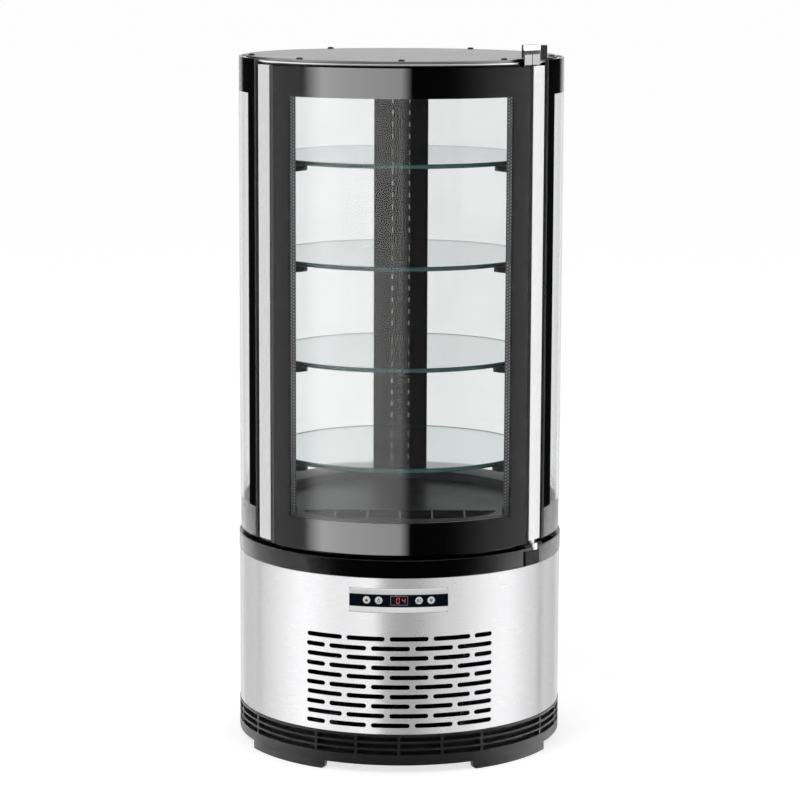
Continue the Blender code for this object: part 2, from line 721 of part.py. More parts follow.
def frame_rings():
    """The black ring below the glass, the insulated frame above it, the top cap and the roof."""
    def lower_profile(angle):
        outer = FLANGE_RADIUS if behind_door(angle) else RING_RADIUS
        ledge = RING_BORE - RING_LEDGE
        seat = DECK_BASE - GAP
        return [(ledge, RING_BASE), (outer, RING_BASE), (outer, RING_TOP), (RING_BORE, RING_TOP),
                (RING_BORE, seat), (ledge, seat)]

    def upper_profile(angle):
        outer = FLANGE_RADIUS if behind_door(angle) else FRAME_RADIUS
        return section(0, outer, UPPER_RING_BASE, GLASS_TOP)

    swept("lower_frame_ring", frame_angles(), lower_profile, "gloss_black", closed=True)
    swept("upper_frame", frame_angles(), upper_profile, "gloss_black", closed=True)

    notch_start = UPPER_HINGE_START_ANGLE - HINGE_NOTCH_MARGIN_ANGLE
    notch_end = UPPER_HINGE_END_ANGLE + HINGE_NOTCH_MARGIN_ANGLE
    notch_inner = UPPER_HINGE_INNER - HINGE_NOTCH_MARGIN
    cap = turned("top_cap", section(0, FRAME_RADIUS, CAP_BASE, CAP_TOP), "gloss_black")
    roof = turned("roof_plate", section(0, ROOF_RADIUS, ROOF_BASE, ROOF_TOP), "brushed_steel")
    for plate in (cap, roof):
        cut(plate, sector(plate.name + "_notch_cutter", notch_inner, BODY_RADIUS + OVERRUN,
                          notch_start, notch_end, CAP_BASE - OVERRUN, ROOF_TOP + OVERRUN, None))


def deck():
    """The round metal deck with a crescent opening in front, and the louvred vent in it."""
    plate = turned("deck_plate", section(0, RING_BORE - TAPE_GAP, DECK_BASE, DECK_TOP), "galvanised")

    def crescent(margin):
        radius = VENT_RADIUS - margin
        chord = VENT_CHORD + margin
        limit = math.degrees(math.acos(chord / radius))
        return [polar(radius, angle) for angle in arc_angles(-limit, limit)]

    cut(plate, prism("vent_cutter", crescent(0), DECK_BASE - OVERRUN, DECK_TOP + OVERRUN, None))
    vent = prism("deck_vent", crescent(GAP), DECK_TOP - VENT_THICKNESS, DECK_TOP, "black_plastic")
    for row in range(VENT_ROWS):
        back = -VENT_CHORD - VENT_MARGIN - row * VENT_ROW_PITCH
        front = back - VENT_SLOT_DEPTH
        reach = math.sqrt(max((VENT_RADIUS - VENT_MARGIN) ** 2 - front ** 2, 0))
        for column in range(VENT_COLUMNS):
            middle = (column - (VENT_COLUMNS - 1) / 2) * VENT_COLUMN_PITCH
            left = max(middle - VENT_SLOT_WIDTH / 2, -reach)
            right = min(middle + VENT_SLOT_WIDTH / 2, reach)
            if right - left > VENT_SLOT_DEPTH:
                cut(vent, block("louvre_cutter_%d_%d" % (row, column), (left, front, DECK_BASE - OVERRUN),
                                (right, back, DECK_TOP + OVERRUN), None))


def side_of(side):
    return "left" if side < 0 else "right"


def mirrored(outline, side):
    return [(side * x, y) for x, y in outline]


def glazing_and_posts():
    """The two curved side panes, the front posts, the light strips and the rear air column."""
    for side in (-1, 1):
        angles = sorted((side * SIDE_GLASS_START_ANGLE, side * SIDE_GLASS_END_ANGLE))
        sector("side_glass_" + side_of(side), GLASS_INNER, GLASS_RADIUS, angles[0], angles[1],
               GLASS_BASE, SIDE_GLASS_TOP, "glass")

        outer_arc = [polar(FRAME_RADIUS, angle) for angle in arc_angles(FRAME_START_ANGLE, POST_END_ANGLE)]
        inner_arc = [polar(POST_INNER_RADIUS, angle)
                     for angle in arc_angles(POST_FLANGE_ANGLE, POST_END_ANGLE)]
        flange_end = FRAME_START_ANGLE - FLANGE_SLOPE_ANGLE
        flange_arc = [polar(FLANGE_RADIUS, angle) for angle in arc_angles(POST_FLANGE_ANGLE, flange_end)]
        outline = flange_arc + outer_arc + inner_arc[::-1]
        prism("post_" + side_of(side), mirrored(outline, side), GLASS_BASE, UPPER_RING_BASE - GAP,
              "gloss_black")

        angles = sorted((side * LIGHT_START_ANGLE, side * LIGHT_END_ANGLE))
        sector("light_strip_" + side_of(side), CLIP_RADIUS - LIGHT_DEPTH, CLIP_RADIUS, angles[0], angles[1],
               GLASS_BASE + LIGHT_MARGIN, UPPER_RING_BASE - LIGHT_MARGIN, "light")

    half = COLUMN_HALF_WIDTH
    inside = half - COLUMN_WALL
    face = COLUMN_FACE + COLUMN_WALL
    back = math.sqrt(GLASS_INNER ** 2 - half ** 2) + GLASS_THICKNESS / 2
    channel = [(-half, COLUMN_FACE), (half, COLUMN_FACE), (half, back), (inside, back),
               (inside, face), (-inside, face), (-inside, back), (-half, back)]
    column = prism("rear_column", channel, GLASS_BASE, UPPER_RING_BASE - GAP, "black_plastic")
    join(column, sector("rear_cover_tool", GLASS_INNER, GLASS_RADIUS, HALF_TURN - COVER_HALF_ANGLE,
                        HALF_TURN + COVER_HALF_ANGLE, GLASS_BASE, SIDE_GLASS_TOP, None))


def shelf_base(place):
    """The level of a shelf's underside, counted from the lowest shelf."""
    return DECK_TOP + LOWEST_SHELF_ABOVE_DECK + place * SHELF_PITCH


def wedge(name, outline, root_count, top, tip_height, root_height, finish):
    """A support with a level top, whose underside drops from its tip to its root points."""
    count = len(outline)
    points = [(x, y, top) for x, y in outline]
    for place, (x, y) in enumerate(outline):
        height = root_height if place < root_count else tip_height
        points.append((x, y, top - height))
    faces = [tuple(range(count)), tuple(range(count, 2 * count))]
    for place in range(count):
        other = (place + 1) % count
        faces.append((place, other, count + other, count + place))
    return new_object(name, points, faces, finish)


def shelves():
    """Four round glass shelves, each on two clips at the posts and a bracket on the column."""
    for place in range(SHELF_COUNT):
        low = shelf_base(place)
        number = str(SHELF_COUNT - place)
        turned("shelf_" + number, section(0, SHELF_RADIUS, low, low + SHELF_THICKNESS), "glass",
               grid=SHELF_GRID_ANGLE)
        top = low - GAP
        clip = [polar(CLIP_RADIUS, CLIP_ROOT_ANGLE), polar(CLIP_RADIUS - CLIP_WIDTH, CLIP_ROOT_ANGLE),
                polar(CLIP_RADIUS - CLIP_WIDTH, CLIP_TIP_INNER_ANGLE),
                polar(CLIP_RADIUS, CLIP_TIP_OUTER_ANGLE)]
        for side in (-1, 1):
            wedge("shelf_clip_%s_%s" % (side_of(side), number), mirrored(clip, side), 2, top,
                  CLIP_TIP_HEIGHT, CLIP_ROOT_HEIGHT, "black_plastic")
        root = COLUMN_FACE - GAP
        tip = root - BRACKET_REACH
        half = BRACKET_HALF_WIDTH
        wedge("shelf_bracket_" + number, [(-half, root), (half, root), (half, tip), (-half, tip)], 2, top,
              BRACKET_TIP_HEIGHT, BRACKET_ROOT_HEIGHT, "black_plastic")


def door():
    """The curved double-glazed door with its spacer, seal and aluminium edge profiles."""
    sector("door_outer_glass", DOOR_GLASS_INNER, BODY_RADIUS, -DOOR_GLASS_HALF_ANGLE,
           DOOR_GLASS_HALF_ANGLE, DOOR_BASE, DOOR_TOP, "printed_glass")
    sector("door_inner_glass", INNER_PANE_INNER, INNER_PANE_OUTER, -DOOR_GLASS_HALF_ANGLE,
           DOOR_GLASS_HALF_ANGLE, DOOR_BASE, DOOR_TOP, "glass")

    def frame(name, inner, outer, opening_angle, rim_angle, low, high, rim, finish):
        angles = sorted(set(arc_angles(-rim_angle, rim_angle) + [-opening_angle, opening_angle]))
        levels = [low - rim, low, high, high + rim]

        def is_solid(angle, level):
            return abs(angle) > opening_angle or not low < level < high

        lattice_wall(name, inner, outer, angles, levels, is_solid, finish)

    frame("door_spacer", INNER_PANE_OUTER + TAPE_GAP, DOOR_GLASS_INNER - TAPE_GAP, WINDOW_HALF_ANGLE,
          WINDOW_HALF_ANGLE + SPACER_WIDTH_ANGLE, DOOR_BASE + WINDOW_FROM_DOOR_BASE,
          DOOR_TOP - WINDOW_FROM_DOOR_TOP, SPACER_WIDTH, "satin_aluminium")
    frame("door_gasket", GASKET_INNER, GASKET_OUTER, GASKET_INNER_ANGLE,
          GASKET_OUTER_ANGLE, DOOR_BASE + GASKET_FROM_DOOR_BASE + GASKET_WIDTH,
          DOOR_TOP - GASKET_FROM_DOOR_TOP - GASKET_WIDTH, GASKET_WIDTH, "rubber")

    axis = polar(HINGE_RADIUS, HINGE_ANGLE)
    bore = HINGE_PIN_RADIUS + HINGE_PIN_CLEARANCE
    depth = HINGE_PIN_ENGAGEMENT + DOOR_CLEARANCE
    for side in (-1, 1):
        angles = sorted((side * DOOR_PROFILE_START_ANGLE, side * DOOR_PROFILE_END_ANGLE))
        low = DOOR_BASE + DOOR_PROFILE_LIFT
        profile = sector("door_profile_" + side_of(side), BODY_RADIUS - DOOR_PROFILE_DEPTH, BODY_RADIUS,
                         angles[0], angles[1], low, DOOR_TOP, "satin_aluminium")
        if side > 0:
            cut(profile, round_bar("lower_bore_cutter", (*axis, low - OVERRUN), (*axis, low + depth),
                                   bore, None))
            cut(profile, round_bar("upper_bore_cutter", (*axis, DOOR_TOP - depth),
                                   (*axis, DOOR_TOP + OVERRUN), bore, None))


def hinges():
    """The lower hinge bracket and the upper hinge block, each with a pin in the door's profile."""
    axis = polar(HINGE_RADIUS, HINGE_ANGLE)
    arm_base = BAND_TOP + GAP
    arm_top = arm_base + LOWER_HINGE_ARM
    plate_inner = BODY_RADIUS + GAP
    plate_outer = plate_inner + LOWER_HINGE_PLATE
    plate_base = arm_base - LOWER_HINGE_DROP
    profile = [(LOWER_HINGE_INNER, arm_base), (plate_inner, arm_base), (plate_inner, plate_base),
               (plate_outer, plate_base), (plate_outer, arm_top), (LOWER_HINGE_INNER, arm_top)]
    angles = arc_angles(LOWER_HINGE_START_ANGLE, LOWER_HINGE_END_ANGLE)
    lower = swept("lower_hinge", angles, lambda angle: profile, "gloss_black")
    profile_base = DOOR_BASE + DOOR_PROFILE_LIFT
    join(lower, round_bar("lower_collar_tool", (*axis, arm_top - WELD), (*axis, profile_base - GAP),
                          HINGE_COLLAR_RADIUS, None))
    join(lower, round_bar("lower_pin_tool", (*axis, profile_base - GAP - WELD),
                          (*axis, profile_base + HINGE_PIN_ENGAGEMENT), HINGE_PIN_RADIUS, None))

    block_base = DOOR_TOP + UPPER_HINGE_LIFT
    block_top = block_base + UPPER_HINGE_HEIGHT
    upper = sector("upper_hinge_block", UPPER_HINGE_INNER, BODY_RADIUS + UPPER_HINGE_PROUD,
                   UPPER_HINGE_START_ANGLE, UPPER_HINGE_END_ANGLE, block_base, block_top, "chrome")
    low = (axis[0] - UPPER_HINGE_LEFT_REACH, -BODY_RADIUS - OVERRUN, block_base - OVERRUN)
    high = (axis[0] + UPPER_HINGE_RIGHT_REACH, 0, block_top + OVERRUN)
    combine(upper, block("upper_hinge_width_tool", low, high, None), "INTERSECT")
    join(upper, round_bar("upper_pin_tool", (*axis, DOOR_TOP - HINGE_PIN_ENGAGEMENT),
                          (*axis, block_base + WELD), HINGE_PIN_RADIUS, None))
    sector("upper_hinge_bracket", ROOF_BRACKET_INNER, ROOF_BRACKET_OUTER, BRACKET_START_ANGLE,
           BRACKET_END_ANGLE, ROOF_TOP + GAP, ROOF_TOP + ROOF_BRACKET_HEIGHT, "black_plastic")


def controls():
    """The silver control plate, its dark panel, the four buttons and the board behind them."""
    low = PLATE_BASE
    high = PLATE_TOP
    window_low = low + PLATE_FRAME_HEIGHT
    window_high = high - PLATE_FRAME_HEIGHT
    plate_inner = BODY_RADIUS - PLATE_DEPTH
    window_angle = PLATE_WINDOW_HALF_ANGLE
    angles = sorted(set(arc_angles(-PLATE_HALF_ANGLE, PLATE_HALF_ANGLE) + [-window_angle, window_angle]))

    def is_solid(angle, level):
        return abs(angle) > window_angle or not window_low < level < window_high

    lattice_wall("control_plate", plate_inner, BODY_RADIUS, angles, [low, window_low, window_high, high],
                 is_solid, "silver_plastic")
    margin = math.degrees(GAP / BODY_RADIUS)
    panel_outer = BODY_RADIUS - PANEL_RECESS
    panel = sector("display_panel", panel_outer - PANEL_DEPTH, panel_outer, margin - window_angle,
                   window_angle - margin, window_low + GAP, window_high - GAP, "gloss_black")
    middle = (window_low + window_high) / 2
    for name, angle in BUTTON_ANGLES.items():
        face = (*polar(BODY_RADIUS, angle), middle)
        back = (*polar(BUTTON_BACK, angle), middle)
        beyond = (*polar(BODY_RADIUS + OVERRUN, angle), middle)
        cut(panel, round_bar(name + "_hole_cutter", back, beyond, BUTTON_RADIUS + BUTTON_CLEARANCE, None))
        round_bar(name, back, face, BUTTON_RADIUS, "white_plastic", origin=back)

    outermost = max(abs(angle) for angle in BUTTON_ANGLES.values())
    pressed = polar(BUTTON_BACK - BUTTON_TRAVEL, outermost)[1]
    board_front = pressed + BUTTON_RADIUS * math.sin(math.radians(outermost)) + BOARD_CLEARANCE
    board = block("control_board", (-BOARD_HALF_WIDTH, board_front, low + BOARD_MARGIN),
                  (BOARD_HALF_WIDTH, board_front + BOARD_THICKNESS, high - BOARD_MARGIN), "circuit_board")
    for place, level in enumerate((low + BOARD_MARGIN, high - BOARD_MARGIN - STANDOFF_SIZE)):
        half = STANDOFF_SIZE / 2
        join(board, block("standoff_tool_%d" % place, (-half, GAP - plate_inner, level + WELD),
                          (half, board_front + WELD, level + STANDOFF_SIZE - WELD), None))


def finned_coil(name, half_width, front, depth, low, height, fins, slot_depth, finish):
    """A coil block whose front is cut into upright fins; front is its distance before the axis."""
    pitch = 2 * half_width / fins
    slot = pitch * FIN_SLOT_SHARE
    outline = [(-half_width, depth - front)]
    for fin in range(fins):
        left = -half_width + fin * pitch
        outline.append((left, -front))
        outline.append((left + pitch - slot, -front))
        if fin < fins - 1:
            outline.append((left + pitch - slot, slot_depth - front))
            outline.append((left + pitch, slot_depth - front))
    outline[-1] = (half_width, -front)
    outline.append((half_width, depth - front))
    return prism(name, outline, low, low + height, finish)


def blade_points(angle, half_angle, inner, outer, pitch, thickness, level):
    """Eight corners of a fan blade in the hub's own frame, leaning from one level to another."""
    corners = []
    for offset in (-thickness / 2, thickness / 2):
        for radius in (inner, outer):
            for lean in (-1, 1):
                turn = math.radians(angle + lean * half_angle)
                corners.append((radius * math.cos(turn), radius * math.sin(turn),
                                level + lean * pitch + offset))
    return corners


BLADE_FACES = [(0, 1, 3, 2), (4, 5, 7, 6), (0, 1, 5, 4), (2, 3, 7, 6), (0, 2, 6, 4), (1, 3, 7, 5)]


def condenser_unit():
    """The condenser behind the grille, its fan frame and motor, and the fan."""
    middle = MACHINE_FLOOR + CONDENSER_HEIGHT / 2
    finned_coil("condenser", CONDENSER_HALF_WIDTH, CONDENSER_FRONT, CONDENSER_DEPTH, MACHINE_FLOOR,
                CONDENSER_HEIGHT, CONDENSER_FINS, FIN_SLOT_DEPTH, "galvanised")
    front = CONDENSER_DEPTH + GAP - CONDENSER_FRONT
    back = front + SHROUD_THICKNESS
    strut_back = back + STRUT_DEPTH
    half = CONDENSER_HALF_WIDTH
    shroud = block("condenser_fan_frame", (-half, front, MACHINE_FLOOR),
                   (half, back, MACHINE_FLOOR + CONDENSER_HEIGHT), "galvanised")
    cut(shroud, round_bar("shroud_hole_cutter", (0, front - OVERRUN, middle), (0, back + OVERRUN, middle),
                          SHROUD_HOLE_RADIUS, None, steps=LARGE_ROUND_STEPS))
    inside = half - STRUT_THICKNESS
    strut = [(-half, back - WELD), (-half, strut_back), (half, strut_back), (half, back - WELD),
             (inside, back - WELD), (inside, strut_back - STRUT_THICKNESS),
             (-inside, strut_back - STRUT_THICKNESS), (-inside, back - WELD)]
    join(shroud, prism("strut_tool", strut, middle - STRUT_HEIGHT / 2, middle + STRUT_HEIGHT / 2, None))
    motor_front = strut_back - STRUT_THICKNESS - FAN_TO_STRUT
    join(shroud, round_bar("motor_tool", (0, motor_front, middle), (0, motor_front + MOTOR_LENGTH, middle),
                           MOTOR_RADIUS, None))

    hub_back = motor_front - GAP
    hub_front = hub_back - FAN_HUB_LENGTH
    hub_middle = (hub_front + hub_back) / 2
    origin = (0, hub_middle, middle)
    fan = round_bar("condenser_fan", (0, hub_front, middle), (0, hub_back, middle), FAN_HUB_RADIUS,
                    "black_plastic", origin=origin)
    for blade in range(FAN_BLADES):
        corners = blade_points(FULL_TURN * blade / FAN_BLADES, FAN_BLADE_HALF_ANGLE,
                               FAN_HUB_RADIUS - 2 * WELD, FAN_RADIUS,
                               FAN_BLADE_PITCH, FAN_BLADE_THICKNESS, 0)
        points = [(x, hub_middle + z, middle + y) for x, y, z in corners]
        join(fan, new_object("fan_blade_tool_%d" % blade, points, BLADE_FACES, None))


def compressor_and_control_box():
    """The domed compressor and the electrical box beside it, both on the base plate."""
    seam = MACHINE_FLOOR + COMPRESSOR_FLANGE_BASE
    seam_top = seam + COMPRESSOR_FLANGE_HEIGHT
    shoulder = MACHINE_FLOOR + COMPRESSOR_HEIGHT - COMPRESSOR_DOME
    profile = [(0, MACHINE_FLOOR), (COMPRESSOR_RADIUS, MACHINE_FLOOR), (COMPRESSOR_RADIUS, seam),
               (COMPRESSOR_FLANGE_RADIUS, seam), (COMPRESSOR_FLANGE_RADIUS, seam_top),
               (COMPRESSOR_RADIUS, seam_top), (COMPRESSOR_RADIUS, shoulder),
               (COMPRESSOR_DOME_RADIUS, MACHINE_FLOOR + COMPRESSOR_HEIGHT),
               (0, MACHINE_FLOOR + COMPRESSOR_HEIGHT)]
    compressor = turned("compressor", profile, "compressor_paint", grid=SMALL_GRID_ANGLE)
    compressor.location.y = COMPRESSOR_SETBACK
    left = COMPRESSOR_FLANGE_RADIUS + CONTROL_BOX_GAP
    right = left + 2 * CONTROL_BOX_HALF_WIDTH
    block("control_box", (left, COMPRESSOR_SETBACK - CONTROL_BOX_HALF_DEPTH, MACHINE_FLOOR),
          (right, COMPRESSOR_SETBACK + CONTROL_BOX_HALF_DEPTH, MACHINE_FLOOR + CONTROL_BOX_HEIGHT),
          "galvanised")


def evaporator_unit():
    """The evaporator coil in the tub, the blower housing in front of it, and the blower wheel."""
    finned_coil("evaporator", EVAPORATOR_HALF_WIDTH, -EVAPORATOR_FRONT, EVAPORATOR_DEPTH, TUB_INSIDE,
                EVAPORATOR_HEIGHT, EVAPORATOR_FINS, EVAPORATOR_DEPTH * FIN_SLOT_SHARE, "satin_aluminium")
    half = BLOWER_HALF_WIDTH
    housing = block("blower_housing", (-half, -BLOWER_CENTRE - half, TUB_INSIDE),
                    (half, half - BLOWER_CENTRE, TUB_INSIDE + BLOWER_HEIGHT), "black_plastic")
    floor = TUB_INSIDE + BLOWER_FLOOR
    bore_top = TUB_INSIDE + BLOWER_HEIGHT + OVERRUN
    cut(housing, round_bar("blower_bore_cutter", (0, -BLOWER_CENTRE, floor), (0, -BLOWER_CENTRE, bore_top),
                           BLOWER_BORE_RADIUS, None, steps=LARGE_ROUND_STEPS))
    cut(housing, block("blower_outlet_cutter", (-BLOWER_OUTLET_HALF_WIDTH, -BLOWER_CENTRE, floor + GAP),
                       (BLOWER_OUTLET_HALF_WIDTH, half + OVERRUN - BLOWER_CENTRE,
                        floor + BLOWER_OUTLET_HEIGHT), None))
    low = floor + GAP
    origin = (0, -BLOWER_CENTRE, low)
    wheel = round_bar("blower_wheel", origin, (0, -BLOWER_CENTRE, low + WHEEL_HEIGHT), WHEEL_HUB_RADIUS,
                      "white_plastic", origin=origin)
    for blade in range(WHEEL_BLADES):
        turn = 2 * math.pi * blade / WHEEL_BLADES
        along = (math.cos(turn), math.sin(turn))
        across = (-along[1] * WHEEL_BLADE_THICKNESS / 2, along[0] * WHEEL_BLADE_THICKNESS / 2)
        root = WHEEL_HUB_RADIUS - 2 * WELD
        outline = []
        for radius, sign in ((root, -1), (WHEEL_RADIUS, -1), (WHEEL_RADIUS, 1), (root, 1)):
            outline.append((radius * along[0] + sign * across[0],
                            radius * along[1] + sign * across[1] - BLOWER_CENTRE))
        join(wheel, prism("wheel_blade_tool_%d" % blade, outline, low + WHEEL_BLADE_LIFT,
                          low + WHEEL_HEIGHT - WHEEL_BLADE_LIFT, None))


def main():
    for old in list(bpy.context.scene.objects):
        bpy.data.objects.remove(old, do_unlink=True)
    base()
    steel_wrap()
    rear_service_panel()
    band_and_tub()
    frame_rings()
    deck()
    glazing_and_posts()
    shelves()
    door()
    hinges()
    controls()
    condenser_unit()
    compressor_and_control_box()
    evaporator_unit()


main()
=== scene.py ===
"""Looks of a round refrigerated cake display case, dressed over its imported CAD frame.

Lengths are metres and +Z is up. Angles are degrees round the case's upright axis, 0 at the front
(-Y) and positive towards +X. A round piece is a (radius, level) profile carried round that axis,
or a grid of angles and levels laid on a cylinder.
"""

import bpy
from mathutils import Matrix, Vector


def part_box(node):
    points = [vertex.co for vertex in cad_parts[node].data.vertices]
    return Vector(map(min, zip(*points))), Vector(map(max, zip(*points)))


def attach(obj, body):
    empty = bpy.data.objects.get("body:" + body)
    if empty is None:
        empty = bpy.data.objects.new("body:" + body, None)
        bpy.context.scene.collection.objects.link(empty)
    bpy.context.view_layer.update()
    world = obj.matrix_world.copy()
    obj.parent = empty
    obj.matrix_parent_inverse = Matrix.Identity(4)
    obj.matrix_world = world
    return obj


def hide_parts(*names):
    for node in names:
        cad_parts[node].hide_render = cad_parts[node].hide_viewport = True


bl_info = {
    "name": "Round cake display case",
    "version": (1, 0, 0),
    "blender": (4, 5, 0),
    "location": "3D View > Sidebar > Display Case",
    "description": "Builds the glazing, steel, mouldings, door and controls of a round cake display case",
    "category": "Add Mesh",
}

import math

import bmesh
import bpy
import numpy as np
from mathutils import Matrix, Vector

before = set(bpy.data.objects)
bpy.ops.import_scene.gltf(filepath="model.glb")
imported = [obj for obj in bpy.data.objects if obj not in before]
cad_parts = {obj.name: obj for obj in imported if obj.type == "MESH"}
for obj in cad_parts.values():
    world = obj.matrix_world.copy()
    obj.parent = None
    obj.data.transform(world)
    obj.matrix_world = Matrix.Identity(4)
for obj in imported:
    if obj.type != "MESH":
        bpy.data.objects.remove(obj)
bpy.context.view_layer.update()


def levels_of(node):
    """Lowest and highest level of a CAD node."""
    low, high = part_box(node)
    return low.z, high.z


# Radii, roughly from the body inwards. Two are lengths beside the radius that they go with: the
# steel's wall, and the distance from the axis to the vent's straight edge.
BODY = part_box("base_band")[1].x
STEEL = BODY - 0.0008
STEEL_WALL = 0.0012
GLASS = BODY - 0.002
RING = BODY - 0.0025
PANE_BACK = BODY - 0.004
GLASS_INNER = GLASS - 0.004
FRAME = 0.2233
SKIRT_BORE = 0.222
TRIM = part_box("top_cap")[1].x
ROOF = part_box("roof_plate")[1].x
INNER_PANE, INNER_PANE_BACK = 0.214, 0.210
FLANGE = 0.1997
POST_INNER = 0.190
CLIP = 0.1896
COLUMN_FACE = 0.187
SHELF = 0.185
DECK_BORE = 0.176
DECK = 0.1753
RING_BORE = 0.170
VENT = 0.1597
VENT_CHORD = 0.0663

# Angles of the door, the posts and the rear
DOOR_EDGE = 50.6
DOOR_TRIM = 49.2
PROFILE_START, PROFILE_END = 50.9, 58.3
SILL_END = 54.0
FRAME_START, SEAM_END = 60.5, 62.6
SIDE_START, SIDE_END = 60.8, 169.4
SIDE_EDGE_END = 62.0
SIDE_PRINT_END = 67.7
REAR_START = 150.0
COVER_HALF = 10.2

# Levels taken from the frame
SKIRT_TOP = levels_of("base_skirt")[1]
STEEL_LOW, STEEL_TOP = levels_of("steel_shell")
BAND_LOW, GROOVE_TOP = levels_of("base_band")
RING_LOW, RING_TOP = levels_of("lower_frame_ring")
GLASS_LOW, GLASS_TOP = levels_of("side_glass_left")
UPPER_LOW, UPPER_TOP = levels_of("upper_frame")
TRIM_LOW, TRIM_TOP = levels_of("top_cap")
ROOF_LOW, ROOF_TOP = levels_of("roof_plate")
DECK_LOW, DECK_TOP = levels_of("deck_plate")
DOOR_LOW, DOOR_TOP = levels_of("door_outer_glass")
SPACER_LOW, SPACER_TOP = levels_of("door_spacer")
SEAL_LOW, SEAL_TOP = levels_of("door_gasket")
PROFILE_LOW, PROFILE_TOP = levels_of("door_profile_left")
PLATE_LOW, PLATE_TOP = levels_of("control_plate")
DISPLAY_LOW, DISPLAY_TOP = levels_of("display_panel")
DISPLAY_MIDDLE = (DISPLAY_LOW + DISPLAY_TOP) / 2

# Levels of edges that the frame has no node for
FOOT_TOP = 0.0115
BAND_TOP = 0.2998
SILL_TOP = 0.3403
FACE_LOW, FACE_TOP = DISPLAY_LOW - 0.0017, DISPLAY_TOP + 0.0007

# The door's spacer and the opening inside it
SPACER_WIDTH = 0.012
SPACER_START, SPACER_END = 41.5, 45.0
WINDOW_LOW, WINDOW_TOP = SPACER_LOW + SPACER_WIDTH, SPACER_TOP - SPACER_WIDTH

# Places on the control plate, the hinge's axis and the radius of its pins, and the notch round it
PLATE_START, PLATE_END = -17.35, 16.8
BUTTON_ANGLES = {"button_up": -11.3, "button_light": -7.1, "button_set": 6.7, "button_down": 10.9}
HINGE_X, HINGE_Y, HINGE_PIN = 0.18312, -0.12727, 0.003
NOTCH_START, NOTCH_END, NOTCH_INNER = 45.5, 57.1, 0.2063

# What many pieces share
CLEARANCE = 0.0003
SAME_POINT = 1e-6
FULL_CIRCLE = np.linspace(0, 360, 240, endpoint=False)


class DisplayCaseSizes(bpy.types.PropertyGroup):
    """Sizes of the dressed pieces that a user may change."""

    slot_height: bpy.props.FloatProperty(
        name="Grille slot height", description="Height of a slot in the steel wrap",
        default=0.0063, min=0.002, max=0.012, unit="LENGTH")
    slot_pitch: bpy.props.FloatProperty(
        name="Grille row pitch", description="Distance from one row of slots to the next",
        default=0.01355, min=0.008, max=0.03, unit="LENGTH")
    moulding_edge: bpy.props.FloatProperty(
        name="Moulding edge", description="Radius of the rounded edges of the black mouldings",
        default=0.0014, min=0.0002, max=0.003, unit="LENGTH")
    shelf_edge: bpy.props.FloatProperty(
        name="Shelf edge", description="Radius of the ground edge of a glass shelf",
        default=0.0022, min=0.0002, max=0.0029, unit="LENGTH")
    screw_radius: bpy.props.FloatProperty(
        name="Roof screw radius", description="Radius of the low screws in the roof",
        default=0.0045, min=0.001, max=0.006, unit="LENGTH")
    hole_pitch: bpy.props.FloatProperty(
        name="Spacer hole pitch", description="Distance between the small holes in the door's spacer",
        default=0.0045, min=0.002, max=0.01, unit="LENGTH")
    digit_height: bpy.props.FloatProperty(
        name="Digit height", description="Height of a digit in the temperature display",
        default=0.0081, min=0.004, max=0.012, unit="LENGTH")
    window_angle: bpy.props.FloatProperty(
        name="Window half angle", description="Where the door's black border ends, from the front",
        default=math.radians(41.4), min=0.3, max=0.85, subtype="ANGLE", unit="ROTATION")


class DisplayCaseColours(bpy.types.PropertyGroup):
    """Linear colours of the finishes that a user may change."""

    black_gloss: bpy.props.FloatVectorProperty(
        name="Gloss black", description="Bands, rings and top trim",
        default=(0.0015, 0.0015, 0.0016), min=0, max=1, size=3, subtype="COLOR")
    black_plastic: bpy.props.FloatVectorProperty(
        name="Moulded black", description="Skirt, vent, clips and column",
        default=(0.022, 0.022, 0.023), min=0, max=1, size=3, subtype="COLOR")
    steel: bpy.props.FloatVectorProperty(
        name="Brushed steel", description="Wrap and rear panel",
        default=(0.78, 0.78, 0.79), min=0, max=1, size=3, subtype="COLOR")
    roof: bpy.props.FloatVectorProperty(
        name="Roof steel", description="Roof plate",
        default=(0.335, 0.335, 0.337), min=0, max=1, size=3, subtype="COLOR")
    aluminium: bpy.props.FloatVectorProperty(
        name="Aluminium", description="Door profiles and spacer",
        default=(0.78, 0.78, 0.785), min=0, max=1, size=3, subtype="COLOR")
    glass: bpy.props.FloatVectorProperty(
        name="Clear glass", description="Tint of the panes",
        default=(0.925, 0.93, 0.931), min=0, max=1, size=3, subtype="COLOR")
    shelf_rim: bpy.props.FloatVectorProperty(
        name="Shelf rim", description="Green of the glass seen through a shelf's edge",
        default=(0.016, 0.10, 0.085), min=0, max=1, size=3, subtype="COLOR")
    print_black: bpy.props.FloatVectorProperty(
        name="Printed border", description="Black print behind the door and side glass",
        default=(0.0015, 0.0015, 0.0016), min=0, max=1, size=3, subtype="COLOR")
    silver: bpy.props.FloatVectorProperty(
        name="Silver plate", description="Lacquer of the control plate",
        default=(0.94, 0.94, 0.935), min=0, max=1, size=3, subtype="COLOR")
    digits: bpy.props.FloatVectorProperty(
        name="Lit digits", description="Red of the lit temperature digits",
        default=(0.52, 0.08, 0.10), min=0, max=1, size=3, subtype="COLOR")


def sizes():
    return bpy.context.scene.display_case_sizes


def colours():
    return bpy.context.scene.display_case_colours


# Shapes: each is (points, [arrays of faces])
def around(radius, angle, level):
    """Points on cylinders: x = radius * sin(angle), y = -radius * cos(angle), z = level."""
    radius, angle, level = np.broadcast_arrays(radius, np.radians(angle), level)
    return np.stack([radius * np.sin(angle), -radius * np.cos(angle), level], axis=-1)


def oblong(left, right, low, high):
    """The four corners of an oblong, counter-clockwise from the lower left one."""
    return np.array([(left, low), (right, low), (right, high), (left, high)], float)


